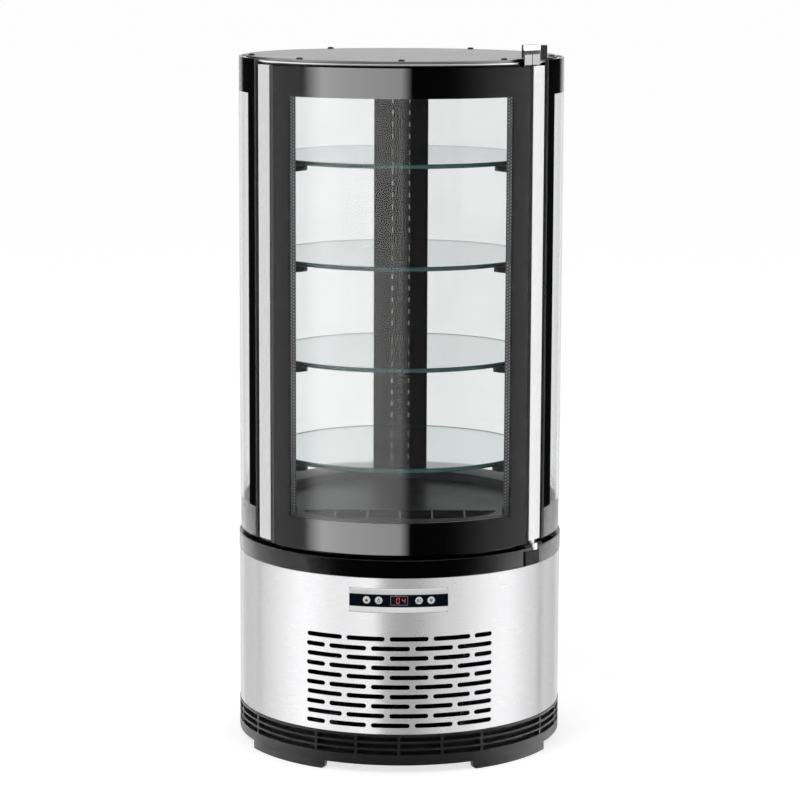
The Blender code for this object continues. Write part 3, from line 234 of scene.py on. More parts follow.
def oblong_about(x, y, half_width, half_height):
    """The four corners of an oblong round its middle."""
    return oblong(x - half_width, x + half_width, y - half_height, y + half_height)


def rounded(outline, radius, steps=4):
    """An outline with each corner turned into an arc: the arc's centre lies on the corner's bisector,
    radius / sin(half angle) away, and its points turn evenly from one tangent point to the next."""
    corner = np.asarray(outline, float)
    size = np.broadcast_to(np.asarray(radius, float), len(corner))
    before = np.roll(corner, 1, axis=0) - corner
    after = np.roll(corner, -1, axis=0) - corner
    before /= np.linalg.norm(before, axis=1)[:, None]
    after /= np.linalg.norm(after, axis=1)[:, None]
    half = np.arccos(np.clip((before * after).sum(axis=1), -1, 1)) / 2
    middle = before + after
    middle /= np.linalg.norm(middle, axis=1)[:, None]
    centre = corner + middle * (size / np.sin(half))[:, None]
    reach = (size / np.tan(half))[:, None]
    first = (corner + before * reach - centre)[:, None]
    last = (corner + after * reach - centre)[:, None]
    span = (np.pi - 2 * half)[:, None, None]
    share = np.linspace(0, 1, steps + 1)[None, :, None]
    arc = (np.sin((1 - share) * span) * first + np.sin(share * span) * last) / np.sin(span)
    points = (centre[:, None] + arc).reshape(-1, 2)
    return points[np.linalg.norm(points - np.roll(points, 1, axis=0), axis=1) > SAME_POINT]


def refined(outline, step):
    """A closed outline with extra points along its edges, none further apart than step."""
    outline = np.asarray(outline, float)
    after = np.roll(outline, -1, axis=0)
    counts = np.maximum(1, np.ceil(np.linalg.norm(after - outline, axis=1) / step).astype(int))
    edge = np.repeat(np.arange(len(outline)), counts)
    share = (np.arange(counts.sum()) - np.repeat(np.cumsum(counts) - counts, counts)) / counts[edge]
    return outline[edge] + share[:, None] * (after[edge] - outline[edge])


def quads_of(points, rows_closed=False, columns_closed=False):
    """The quads of a grid of points, joined last to first where it is closed."""
    rows, columns = points.shape[:2]
    number = np.arange(rows * columns).reshape(rows, columns)
    if rows_closed:
        number = np.vstack([number, number[:1]])
    if columns_closed:
        number = np.hstack([number, number[:, :1]])
    return np.stack([number[:-1, :-1], number[:-1, 1:], number[1:, 1:], number[1:, :-1]], axis=-1)


def loft(sections, closed=False):
    """A solid through closed sections: grid rows are the sections, and a flat face ends each end."""
    sections = np.asarray(sections, float)
    stations, count = sections.shape[:2]
    faces = [quads_of(sections, closed, True).reshape(-1, 4)]
    if not closed:
        faces.append(np.arange(count)[None, ::-1])
        faces.append(np.arange(count)[None] + (stations - 1) * count)
    return sections.reshape(-1, 3), faces


def ring(profile, angles, closed=False):
    """A (radius, level) profile carried round the axis through the given angles."""
    profile = np.asarray(profile, float)
    angles = np.asarray(angles, float)[:, None]
    return loft(around(profile[None, :, 0], angles, profile[None, :, 1]), closed)


def turned(profile, steps, place=(0, 0, 0), axis=(0, 0, 1)):
    """A (radius, height) profile turned round any axis: place + radius * (side * cos + other * sin)
    + axis * height. A radius of 0 makes a pole."""
    profile = np.asarray(profile, float)
    axis = np.asarray(axis, float) / np.linalg.norm(axis)
    side = np.cross(axis, (0, 0, 1) if abs(axis[2]) < 0.9 else (0, 1, 0))
    side /= np.linalg.norm(side)
    other = np.cross(axis, side)
    turn = np.linspace(0, 2 * np.pi, steps, endpoint=False)[None, :, None]
    radius = profile[:, None, :1]
    points = np.asarray(place, float) + radius * (side * np.cos(turn) + other * np.sin(turn))
    points = points + profile[:, None, 1:] * axis
    return points.reshape(-1, 3), [quads_of(points, False, True).reshape(-1, 4)]


def raised(outline, low, high):
    """A flat (x, y) outline carried straight up from one level to another."""
    outline = np.asarray(outline, float)
    level = np.broadcast_to(np.array([low, high], float)[:, None, None], (2, len(outline), 1))
    return loft(np.concatenate([np.broadcast_to(outline, (2, len(outline), 2)), level], axis=2))


def levelled(outline, level):
    """A flat (x, y) outline at one level."""
    return np.column_stack([outline, np.full(len(outline), level)])


def oblongs_at(inner, outer, angles, low, high):
    """Oblong sections at the given angles, each between two radii and two levels."""
    corners = ((inner, low), (outer, low), (outer, high), (inner, high))
    return np.stack([around(radius, angles, level) for radius, level in corners], axis=1)


def sector_outline(inner, outer, start, end, corner):
    """The (x, y) outline of a piece of a ring: a rounded oblong of arc lengths and radii, bent round."""
    arc = math.radians(end - start) * outer
    flat = refined(rounded(oblong(0, arc, inner, outer), corner), 0.004)
    angle = np.radians(start) + flat[:, 0] / outer
    return np.stack([flat[:, 1] * np.sin(angle), -flat[:, 1] * np.cos(angle)], axis=1)


def shell_between(front, back, present, closed=False):
    """A closed shell between two grids of points: outer quads, inner quads turned round, and a wall
    along every edge between a cell that is present and one that is not."""
    rows, columns = front.shape[:2]
    here = quads_of(front, False, closed)
    shift = rows * columns
    walls = []
    beyond = np.pad(present, ((1, 1), (0, 0)))
    if closed:
        beside = np.hstack([present[:, -1:], present, present[:, :1]])
    else:
        beside = np.pad(present, ((0, 0), (1, 1)))
    edges = ((~beyond[:-2], 0, 1), (~beside[:, 2:], 1, 2),
             (~beyond[2:], 2, 3), (~beside[:, :-2], 3, 0))
    for is_open, first, last in edges:
        cells = here[present & is_open]
        walls.append(np.stack([cells[:, last], cells[:, first],
                               cells[:, first] + shift, cells[:, last] + shift], axis=1))
    outside = here[present]
    faces = np.concatenate([outside, outside[:, ::-1] + shift, *walls])
    used, renumbered = np.unique(faces, return_inverse=True)
    points = np.concatenate([front.reshape(-1, 3), back.reshape(-1, 3)])[used]
    return points, np.split(renumbered.reshape(-1, 4), [len(outside), 2 * len(outside)])


def only(shape, *blocks):
    """Some of a shape's arrays of faces. A shell has its outside, its inside and its walls."""
    points, faces = shape
    return points, [faces[block] for block in blocks]


def lattice(inner, outer, angles, levels, is_solid, closed=False):
    """A curved wall on a grid of angles and levels, solid where is_solid(middle angle, middle level)."""
    angles = np.asarray(angles, float)
    levels = np.asarray(levels, float)
    last = np.append(angles, angles[0] + 360) if closed else angles
    middle_angle = (last[:-1] + last[1:]) / 2
    middle_level = (levels[:-1] + levels[1:]) / 2
    present = is_solid(middle_angle[None, :], middle_level[:, None])
    present = np.broadcast_to(present, (len(middle_level), len(middle_angle)))
    front = around(outer, angles[None, :], levels[:, None])
    back = around(inner, angles[None, :], levels[:, None])
    return shell_between(front, back, present, closed)


def spread(marks, step):
    """Sorted angles or levels through all the marks, none further apart than step."""
    marks = np.unique(np.round(np.asarray(marks, float), 9))
    counts = np.maximum(1, np.ceil(np.diff(marks) / step).astype(int))
    parts = [np.linspace(a, b, n, endpoint=False) for a, b, n in zip(marks[:-1], marks[1:], counts)]
    return np.append(np.concatenate(parts), marks[-1])


def face_frames(thing):
    """The normals and the centres of a piece's faces."""
    facing, centre = np.empty((2, len(thing.data.polygons), 3))
    thing.data.polygons.foreach_get("normal", facing.reshape(-1))
    thing.data.polygons.foreach_get("center", centre.reshape(-1))
    return facing, centre


def refinish(piece, finishes, indices):
    """Adds finishes to a piece and gives each face the one of its index."""
    for finish in finishes:
        piece.data.materials.append(bpy.data.materials[finish])
    piece.data.polygons.foreach_set("material_index", np.asarray(indices, np.int32))


def slotted_sheet(outer, wall, start, end, low, high, rows, hole=None, step=2.0, same=0.6):
    """A curved sheet with rows of round-ended slots. The grid's upright lines run through the centres
    of the slots' ends and bow out by radius * cos(turn) at level + radius * sin(turn), so that they
    follow each round end. Cells inside a slot are left out. rows holds (level, height, ends) with
    ends as pairs of angles, and hole one oblong opening as (start, end, low, high)."""
    turns = np.radians(np.linspace(-90, 90, 9))
    wanted = [start, end] + (list(hole[:2]) if hole else [])
    for _, height, ends in rows:
        inset = math.degrees(height / 2 / outer)
        wanted += [a + inset for a, _ in ends] + [b - inset for _, b in ends]
    wanted = np.sort(wanted)
    group = np.concatenate([[0], np.cumsum(np.diff(wanted) > same)])
    keys = np.array([wanted[group == g].mean() for g in range(group[-1] + 1)])
    keys[0], keys[-1] = start, end

    levels, places, owners = [low, high], [keys, keys], [-1, -1]
    gaps = {}
    for row, (level, height, ends) in enumerate(rows):
        inset = math.degrees(height / 2 / outer)
        firsts = [int(np.abs(keys - a - inset).argmin()) for a, _ in ends]
        lasts = [int(np.abs(keys - b + inset).argmin()) for _, b in ends]
        gaps[row] = list(zip(firsts, lasts))
        for turn in turns:
            place = keys.copy()
            place[firsts] = [a + inset - inset * math.cos(turn) for a, _ in ends]
            place[lasts] = [b - inset + inset * math.cos(turn) for _, b in ends]
            levels.append(level + height / 2 * math.sin(turn))
            places.append(place)
            owners.append(row)
    if hole:
        sides = [int(np.abs(keys - a).argmin()) for a in hole[:2]]
        gaps[len(rows)] = [tuple(sides)]
        for level in hole[2:]:
            place = keys.copy()
            place[sides] = hole[:2]
            levels.append(level)
            places.append(place)
            owners.append(len(rows))
    order = np.argsort(levels, kind="stable")
    levels = np.array(levels)[order]
    places = np.array(places)[order]
    owners = np.array(owners)[order]
    present = np.ones((len(levels) - 1, len(keys) - 1), bool)
    for line in range(len(levels) - 1):
        if owners[line] >= 0 and owners[line] == owners[line + 1]:
            for first, last in gaps[owners[line]]:
                present[line, first:last] = False
    counts = np.maximum(1, np.ceil(np.diff(keys) / step).astype(int))
    columns = [places[:, k:k + 1] + (places[:, k + 1:k + 2] - places[:, k:k + 1])
               * np.arange(n)[None] / n for k, n in enumerate(counts)]
    angles = np.concatenate(columns + [places[:, -1:]], axis=1)
    present = np.repeat(present, counts, axis=1)
    level = np.broadcast_to(levels[:, None], angles.shape)
    return shell_between(around(outer, angles, level), around(outer - wall, angles, level), present)


def relief(outline, low, high):
    """A small flat mark on a cylinder: an (angle, level) outline carried from one radius to another."""
    outline = np.asarray(outline, float)
    radius = np.array([low, high], float)[:, None]
    return loft(around(radius, outline[None, :, 0], outline[None, :, 1]))


def box_shape(low, high):
    """An oblong block between two corners."""
    return raised(oblong(low[0], high[0], low[1], high[1]), low[2], high[2])


def laid_on(shape, angle, radius, level):
    """A flat shape in (right, up, outward) laid against a cylinder at one angle and level."""
    points, faces = shape
    turn = math.radians(angle)
    right = np.array([math.cos(turn), math.sin(turn), 0])
    outward = np.array([math.sin(turn), -math.cos(turn), 0])
    up = np.array([0, 0, 1])
    moved = outward * radius + up * level + points[:, :1] * right + points[:, 1:2] * up
    return moved + points[:, 2:] * outward, faces


def together(*shapes):
    """Several shapes as one: their points in a row and their faces renumbered to match."""
    points, faces, count = [], [], 0
    for shape_points, shape_faces in shapes:
        points.append(shape_points)
        faces += [np.asarray(block) + count for block in shape_faces]
        count += len(shape_points)
    return np.concatenate(points), faces


def new_object(name, data):
    """An object in the scene's own collection."""
    made = bpy.data.objects.new(name, data)
    bpy.context.scene.collection.objects.link(made)
    return made


def new_piece(name, parts, body="cabinet", replaces=(), bevel=0.0, smooth=38):
    """A mesh object from (shape, finish) pairs, riding on a CAD body."""
    points, faces, indices, finishes, count = [], [], [], [], 0
    for (shape_points, shape_faces), finish in parts:
        if finish not in finishes:
            finishes.append(finish)
        for block in shape_faces:
            block = np.asarray(block) + count
            faces += block.tolist()
            indices += [finishes.index(finish)] * len(block)
        points.append(shape_points)
        count += len(shape_points)
    if not faces:
        raise RuntimeError("the piece %s has no faces" % name)
    mesh = bpy.data.meshes.new(name)
    mesh.from_pydata(np.concatenate(points), [], faces)
    mesh.polygons.foreach_set("material_index", indices)
    for finish in finishes:
        mesh.materials.append(bpy.data.materials[finish])
    joined = bmesh.new()
    joined.from_mesh(mesh)
    bmesh.ops.remove_doubles(joined, verts=joined.verts, dist=SAME_POINT)
    bmesh.ops.recalc_face_normals(joined, faces=joined.faces)
    joined.to_mesh(mesh)
    joined.free()
    mesh.shade_smooth()
    mesh.set_sharp_from_angle(angle=math.radians(smooth))
    piece = new_object(name, mesh)
    if bevel:
        rounding = piece.modifiers.new("edges", "BEVEL")
        rounding.width = bevel
        rounding.segments = 2
        rounding.limit_method = "ANGLE"
        rounding.angle_limit = math.radians(smooth)
        rounding.harden_normals = True
    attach(piece, body)
    if replaces:
        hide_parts(*replaces)
    return piece


# Finishes
def node(tree, kind, inputs=None, **settings):
    """A shader node with its settings and its inputs, each a value or another node's output."""
    made = tree.nodes.new(kind)
    for name, value in settings.items():
        setattr(made, name, value)
    for key, value in (inputs or {}).items():
        if isinstance(value, bpy.types.NodeSocket):
            tree.links.new(value, made.inputs[key])
        else:
            made.inputs[key].default_value = value
    return made


def new_finish(name, colour, roughness, metallic=0.0, sockets=None):
    """A material whose shader has its plain values set on its own sockets."""
    made = bpy.data.materials.new(name)
    made.use_nodes = True
    tree = made.node_tree
    shader = tree.nodes["Principled BSDF"]
    shader.inputs["Base Color"].default_value = (*colour, 1)
    shader.inputs["Roughness"].default_value = roughness
    shader.inputs["Metallic"].default_value = metallic
    for key, value in (sockets or {}).items():
        shader.inputs[key].default_value = value
    made.diffuse_color = (*colour, 1)
    return tree, shader


def cleared(block):
    """The emptied node tree of a material or a world."""
    block.use_nodes = True
    block.node_tree.nodes.clear()
    return block.node_tree


def object_place(tree):
    return node(tree, "ShaderNodeTexCoord").outputs["Object"]


def turn_and_level(tree, place):
    """The angle of a place from the front, in radians, and its level."""
    axes = node(tree, "ShaderNodeSeparateXYZ", {0: place})
    front = node(tree, "ShaderNodeMath", {0: axes.outputs["Y"], 1: -1.0}, operation="MULTIPLY")
    turn = node(tree, "ShaderNodeMath", {0: axes.outputs["X"], 1: front.outputs[0]}, operation="ARCTAN2")
    return turn.outputs[0], axes.outputs["Z"]


def wrapped_place(tree):
    """Pattern coordinates of a round piece: arc length round the axis, nothing, and level."""
    turn, level = turn_and_level(tree, object_place(tree))
    arc = node(tree, "ShaderNodeMath", {0: turn, 1: BODY}, operation="MULTIPLY")
    return node(tree, "ShaderNodeCombineXYZ", {0: arc.outputs[0], 2: level}).outputs[0]


def noise(tree, place, scale, detail=3.0, stretch=None):
    """Noise on a pattern that is stretched per axis."""
    if stretch:
        place = node(tree, "ShaderNodeMapping", {"Vector": place, "Scale": stretch}).outputs[0]
    return node(tree, "ShaderNodeTexNoise", {"Vector": place, "Scale": scale, "Detail": detail}).outputs[0]


def between(tree, factor, low, high, start=0.3, end=0.7):
    """A value that runs from low to high as the factor runs from start to end."""
    inputs = {"Value": factor, "From Min": start, "From Max": end, "To Min": low, "To Max": high}
    return node(tree, "ShaderNodeMapRange", inputs).outputs[0]


def blend(tree, factor, first, second):
    """A mix of two colours. A Mix node takes them at its sockets 6 and 7, and numbers at 2 and 3."""
    first = first if isinstance(first, bpy.types.NodeSocket) else (*first, 1)
    second = second if isinstance(second, bpy.types.NodeSocket) else (*second, 1)
    return node(tree, "ShaderNodeMix", {0: factor, 6: first, 7: second}, data_type="RGBA").outputs[2]


def scaled(colour, share):
    """A colour with each channel times a share, and none past 1."""
    return tuple(min(1.0, channel * share) for channel in colour)


def grained(name, colour, roughness, scale, tone, gloss, depth, metallic=0.0, stretch=None, wrapped=False,
            sockets=None, tangent=None):
    """A finish with a fine grain of the given scale in its colour and relief, and broad clouds in its
    roughness. The colour swings by the share tone and the roughness by the amount gloss."""
    tree, shader = new_finish(name, colour, roughness, metallic, sockets)
    place = wrapped_place(tree) if wrapped else object_place(tree)
    grain = noise(tree, place, scale, 4.0, stretch)
    cloud = noise(tree, place, 11.0, 2.0)
    tint = blend(tree, between(tree, grain, 0.0, 1.0), scaled(colour, 1 - tone), scaled(colour, 1 + tone))
    tree.links.new(tint, shader.inputs["Base Color"])
    low, high = max(0.02, roughness - gloss), roughness + gloss
    tree.links.new(between(tree, cloud, low, high), shader.inputs["Roughness"])
    if depth:
        bump = node(tree, "ShaderNodeBump", {"Height": grain, "Distance": depth, "Strength": 1.0})
        tree.links.new(bump.outputs[0], shader.inputs["Normal"])
    if tangent:
        across = node(tree, "ShaderNodeCombineXYZ", dict(enumerate(tangent)))
        tree.links.new(across.outputs[0], shader.inputs["Tangent"])


def clear_glass(name, colour, index):
    """Clear glass with a very faint unevenness in its tint."""
    tree, shader = new_finish(name, colour, 0.0, 0.0, {"Transmission Weight": 1.0, "IOR": index})
    cloud = noise(tree, object_place(tree), 14.0, 2.0)
    tint = blend(tree, between(tree, cloud, 0.0, 1.0), scaled(colour, 0.99), scaled(colour, 1.01))
    tree.links.new(tint, shader.inputs["Base Color"])


def spangled(name, colour, roughness):
    """Galvanised sheet: flat crystals, each with its own tone and gloss."""
    tree, shader = new_finish(name, colour, roughness, 1.0)
    cells = node(tree, "ShaderNodeTexVoronoi", {"Vector": object_place(tree), "Scale": 140.0})
    tone = node(tree, "ShaderNodeSeparateColor", {0: cells.outputs["Color"]})
    tint = blend(tree, tone.outputs[0], scaled(colour, 0.8), scaled(colour, 1.15))
    tree.links.new(tint, shader.inputs["Base Color"])
    gloss = between(tree, tone.outputs[1], roughness - 0.1, roughness + 0.1, 0.0, 1.0)
    tree.links.new(gloss, shader.inputs["Roughness"])


def finned(name, colour):
    """Thin aluminium fins: fine upright lines in colour and relief."""
    tree, shader = new_finish(name, colour, 0.4, 1.0)
    axes = node(tree, "ShaderNodeSeparateXYZ", {0: object_place(tree)})
    wave = node(tree, "ShaderNodeMath", {0: axes.outputs["X"], 1: 2800.0}, operation="MULTIPLY")
    wave = node(tree, "ShaderNodeMath", {0: wave.outputs[0]}, operation="SINE")
    lines = between(tree, wave.outputs[0], 0.0, 1.0, -0.6, 0.6)
    tree.links.new(blend(tree, lines, scaled(colour, 0.25), colour), shader.inputs["Base Color"])
    bump = node(tree, "ShaderNodeBump", {"Height": lines, "Distance": 0.0004, "Strength": 1.0})
    tree.links.new(bump.outputs[0], shader.inputs["Normal"])


def gauze(name):
    """Black woven gauze: a fine brick pattern makes the threads."""
    tree, shader = new_finish(name, (0.008, 0.008, 0.008), 0.6)
    weave = node(tree, "ShaderNodeTexBrick", {"Vector": wrapped_place(tree), "Scale": 500.0,
                                              "Color1": (0.004, 0.004, 0.004, 1),
                                              "Color2": (0.005, 0.005, 0.005, 1),
                                              "Mortar": (0.012, 0.012, 0.012, 1)})
    tree.links.new(weave.outputs[0], shader.inputs["Base Color"])


def circuit_board(name):
    """Green lacquer with copper tracks: a brick pattern picks the tracks out of the ground."""
    tree, shader = new_finish(name, (0.02, 0.10, 0.04), 0.35)
    tracks = node(tree, "ShaderNodeTexBrick", {"Vector": object_place(tree), "Scale": 160.0,
                                               "Color1": (0.012, 0.09, 0.035, 1),
                                               "Color2": (0.02, 0.13, 0.05, 1),
                                               "Mortar": (0.30, 0.22, 0.08, 1)})
    tree.links.new(tracks.outputs[0], shader.inputs["Base Color"])


def lit(name, colour, strength):
    """A lit segment behind dark glass."""
    sockets = {"Emission Color": (*colour, 1), "Emission Strength": strength}
    tree, shader = new_finish(name, scaled(colour, 0.5), 0.4, 0.0, sockets)
    cloud = noise(tree, object_place(tree), 3000.0, 2.0)
    tint = blend(tree, cloud, scaled(colour, 0.4), scaled(colour, 0.6))
    tree.links.new(tint, shader.inputs["Base Color"])


def fine_finishes(tone):
    """Finishes with a fine grain: name, colour, roughness, scale of the grain, swing of the colour,
    swing of the roughness and depth of the relief."""
    return (
        ("moulded black", tone.black_plastic, 0.42, 1600, 0.18, 0.05, 0.00003),
        ("gloss black", tone.black_gloss, 0.07, 700, 0.2, 0.03, 0.000001),
        ("printed black", tone.print_black, 0.05, 500, 0.15, 0.02, 0),
        ("compressor paint", (0.010, 0.010, 0.011), 0.3, 700, 0.2, 0.08, 0.00003),
        ("white plastic", (0.80, 0.80, 0.80), 0.35, 1500, 0.02, 0.06, 0.00001),
        ("silver lacquer", tone.silver, 0.3, 2500, 0.03, 0.06, 0.000006),
        ("display glass", (0.004, 0.006, 0.012), 0.08, 1200, 0.2, 0.03, 0),
        ("symbol ink", (0.055, 0.055, 0.06), 0.5, 3000, 0.1, 0.05, 0),
        ("display line", (0.22, 0.23, 0.26), 0.4, 3000, 0.1, 0.05, 0),
        ("unlit segment", (0.022, 0.024, 0.03), 0.4, 3000, 0.1, 0.05, 0),
        ("seal rubber", (0.012, 0.012, 0.012), 0.7, 1400, 0.2, 0.06, 0.00003),
        ("column slot", (0.62, 0.63, 0.63), 0.4, 1500, 0.1, 0.05, 0),
        ("column mark", (0.011, 0.011, 0.011), 0.5, 1500, 0.1, 0.05, 0),
        ("vent rib", (0.22, 0.22, 0.22), 0.5, 1600, 0.1, 0.05, 0.00002),
        # The glass edge's grey is a painted highlight of the light line along the side panes' front edges.
        ("glass edge", (0.06, 0.062, 0.062), 0.3, 900, 0.1, 0.05, 0),
        ("lining felt", (0.018, 0.018, 0.018), 0.9, 600, 0.3, 0.05, 0.0001),
    )


def metal_finishes(tone):
    """Metals: as in fine_finishes, then how metallic, and where brushed how the grain is stretched."""
    return (
        ("brushed roof", tone.roof, 0.3, 60, 0.05, 0.02, 0.000002, 1.0, (0.8, 60.0, 0.8)),
        ("brushed aluminium", tone.aluminium, 0.28, 60, 0.10, 0.05, 0.000005, 1.0, (60.0, 60.0, 1.2)),
        ("satin aluminium", tone.aluminium, 0.35, 900, 0.08, 0.05, 0.00001, 1.0),
        ("chrome", (0.82, 0.82, 0.83), 0.08, 400, 0.03, 0.04, 0, 1.0),
        ("spacer bar", (0.24, 0.24, 0.245), 0.4, 900, 0.08, 0.05, 0.00001, 0.6),
        # The spacer holes' near-white mirror finish is a painted highlight of the light caught in the holes.
        ("spacer hole", (0.97, 0.97, 0.97), 0.3, 2500, 0.03, 0.05, 0, 1.0),
    )


class DISPLAY_CASE_OT_finishes(bpy.types.Operator):
    """Makes every finish of the case"""
    bl_idname = "display_case.finishes"
    bl_label = "Finishes"

    def execute(self, context):
        tone = colours()
        for settings in fine_finishes(tone) + metal_finishes(tone):
            grained(*settings)
        grained("brushed steel", tone.steel, 0.27, 55, 0.07, 0.04, 0.000006, 1.0, (1.0, 1.0, 60.0), True,
                {"Anisotropic": 0.65}, tangent=(0, 0, 1))
        # Deck steel: its near-black tone is painted shade for the dim inside of the cabinet and the dark
        # parts it mirrors.
        grained("deck metal", (0.05, 0.052, 0.054), 0.33, 30, 0.14, 0.06, 0.000005, 1.0, (2.0, 60.0, 2.0),
                sockets={"Specular Tint": (0.62, 0.62, 0.62, 1)})
        grained("light diffuser", (0.86, 0.86, 0.84), 0.4, 160, 0.04, 0.05, 0.00001,
                stretch=(1.0, 1.0, 4.0))
        grained("shelf rim", tone.shelf_rim, 0.12, 300, 0.25, 0.04, 0, wrapped=True)
        grained("column black", (0.004, 0.0039, 0.0038), 0.5, 1600, 0.12, 0.06, 0.00002,
                sockets={"Specular IOR Level": 0.05})
        grained("vent black", (0.001, 0.001, 0.001), 0.6, 1600, 0.2, 0.05, 0,
                sockets={"Specular IOR Level": 0.0})
        grained("vent rim", (0.045, 0.045, 0.046), 0.5, 1600, 0.15, 0.05, 0.00002,
                sockets={"Specular IOR Level": 0.1})
        clear_glass("door pane", tone.glass, 1.22)
        clear_glass("inner pane", tone.glass, 1.06)
        clear_glass("side pane", tone.glass, 1.30)
        clear_glass("shelf glass", (0.90, 0.955, 0.945), 1.38)
        spangled("galvanised sheet", (0.45, 0.46, 0.47), 0.45)
        finned("coil fins", (0.62, 0.62, 0.63))
        finned("painted coil", (0.05, 0.043, 0.038))
        circuit_board("circuit board")
        gauze("dust gauze")
        lit("lit red", tone.digits, 0.75)
        return {"FINISHED"}


def feet_shape():
    """Four feet whose inner ends round off as r - sqrt(r^2 - (r - d)^2) over the distance d from the
    end."""
    start, end, curve = 26.5, 63.5, 0.007
    turn = np.linspace(start, end, 40)
    turn = np.concatenate([start + np.array([0, 0.12, 0.3, 0.6, 1.0, 1.4]), turn[3:]])
    away = np.minimum(np.radians(turn - start) * BODY, curve)
    lift = curve - np.sqrt(curve ** 2 - (curve - away) ** 2)
    return together(*(loft(oblongs_at(SKIRT_BORE + 0.0002, BODY - 0.0002, quarter + side * turn, lift,
                                      FOOT_TOP + 0.001))
                      for quarter in (0, 180) for side in (-1, 1)))


def louvres_shape():
    """The skirt's wall: a lattice with three rows of slots between ribs, and none over the feet."""
    pitch, half_rib, foot_middle = 15, 0.5, 45
    first_slot, slot_height, slot_pitch = 0.0253, 0.0067, 0.0096
    ribs = np.array([angle for angle in range(0, 360, pitch) if angle % 90 != foot_middle])
    angles = np.unique(np.concatenate([np.arange(0, 360, 2.5), (ribs - half_rib) % 360, ribs + half_rib]))
    slots = [(level, level + slot_height) for level in first_slot + slot_pitch * np.arange(3)]
    levels = [FOOT_TOP, FOOT_TOP + 0.0015] + [level for pair in slots for level in pair] + [SKIRT_TOP]

    def is_solid(angle, level):
        nearest = np.round(angle / pitch) * pitch
        is_rib = (np.abs(angle - nearest) < half_rib) & (nearest % 90 != foot_middle)
        in_slot = np.zeros(level.shape, bool)
        for low, high in slots:
            in_slot |= (level > low) & (level < high)
        return ~in_slot | is_rib

    return lattice(SKIRT_BORE, BODY, angles, levels, is_solid, closed=True)


class DISPLAY_CASE_OT_skirt(bpy.types.Operator):
    """Builds the louvred skirt with its four feet"""
    bl_idname = "display_case.skirt"
    bl_label = "Skirt and feet"

    def execute(self, context):
        new_piece("skirt_louvres", [(together(louvres_shape(), feet_shape()), "moulded black")],
                  replaces=["base_skirt"], bevel=0.0007)
        gauze_outer, gauze_inner = SKIRT_BORE - 0.0008, SKIRT_BORE - 0.0015
        sleeve = ring(oblong(gauze_inner, gauze_outer, FOOT_TOP + 0.0038, SKIRT_TOP - 0.0006),
                      FULL_CIRCLE, closed=True)
        new_piece("skirt_dust_gauze", [(sleeve, "dust gauze")])
        return {"FINISHED"}


def grille_rows():
    """Rows of slots in the steel wrap. Odd and even rows start at different angles, and the outermost
    slots are cut off at the grille's edge."""
    size = sizes()
    edge, pitch, length, first_level = 33.8, 15.1, 13.4, STEEL_LOW + 0.0123
    rows = []
    for row in range(10):
        starts = (-33.5 if row % 2 else -39.9) + pitch * np.arange(6)
        ends = [(max(start, -edge), min(start + length, edge)) for start in starts if start < edge - 0.8]
        rows.append((first_level + row * size.slot_pitch, size.slot_height, ends))
    return rows


def screw(radius, height, place, axis):
    """A low pan-head screw with a recess, as a turned profile."""
    profile = [(0, -0.0008), (radius, -0.0008), (radius, 0.35 * height), (0.86 * radius, 0.8 * height),
               (0.55 * radius, height), (0.34 * radius, height), (0.26 * radius, 0.45 * height),
               (0, 0.4 * height)]
    return turned(profile, 20, place, axis)


class DISPLAY_CASE_OT_steel(bpy.types.Operator):
    """Builds the brushed wrap with its grille, the rear panel and the power inlet"""
    bl_idname = "display_case.steel"
    bl_label = "Steel wrap and rear"

    def execute(self, context):
        self.add_wrap()
        self.add_rear_panel()
        self.add_inlet()
        return {"FINISHED"}

    def add_wrap(self):
        plate_hole = (PLATE_START - 0.05, PLATE_END + 0.05, PLATE_LOW - 0.0012, PLATE_TOP + 0.0002)
        wrap = slotted_sheet(STEEL, STEEL_WALL, -REAR_START, REAR_START, STEEL_LOW, STEEL_TOP,
                             grille_rows(), plate_hole)
        new_piece("steel_wrap", [(only(wrap, 0, 2), "brushed steel"), (only(wrap, 1), "lining felt")],
                  replaces=["steel_shell"], bevel=0.00025)

    def add_rear_panel(self):
        first_louvre, louvre_height, louvre_pitch, seam = STEEL_LOW + 0.0885, 0.007, 0.018, 0.02
        halves = [(158.0, 178.0), (182.0, 202.0)]
        inlet_hole = (160.4, 168.6, 0.085, 0.1096)
        louvres = [(first_louvre + row * louvre_pitch, louvre_height, halves) for row in range(7)]
        panel = slotted_sheet(STEEL, STEEL_WALL, REAR_START + seam, 360 - REAR_START - seam, STEEL_LOW,
                              STEEL_TOP, louvres, inlet_hole)
        screw_radius, screw_height = 0.0034, 0.0007
        places = [around(STEEL, angle, level) for angle in (152.6, 207.4) for level in (0.066, 0.165, 0.264)]
        screws = [screw(screw_radius, screw_height, place, place * (1, 1, 0)) for place in places]
        new_piece("rear_louvred_panel", [(only(panel, 0, 2), "brushed steel"),
                                         (only(panel, 1), "lining felt"),
                                         (together(*screws), "satin aluminium")],
                  replaces=["rear_panel"], bevel=0.00025)

    def add_inlet(self):
        middle = (164.5, STEEL - 0.0004, 0.0973)
        corner, pin_corner, pin_root, pin_tip = 0.002, 0.0004, -0.017, -0.004
        outer = rounded(oblong_about(0, 0, 0.0159, 0.0119), corner)
        inner = rounded(oblong_about(0, 0, 0.0107, 0.0079), corner)
        depths = ((outer, -0.0236), (outer, -0.0006), (outer * 0.975, 0.0), (inner, 0.0), (inner, -0.0158))
        socket = laid_on(loft([levelled(outline, depth) for outline, depth in depths]), *middle)
        pins = [rounded(oblong_about(x, y, 0.0022, 0.001), pin_corner)
                for x, y in ((-0.007, -0.0018), (0.007, -0.0018), (0.0, 0.0022))]
        pins = [laid_on(raised(pin, pin_root, pin_tip), *middle) for pin in pins]
        new_piece("inlet_socket", [(socket, "moulded black"), (together(*pins), "chrome")],
                  replaces=["power_inlet"])


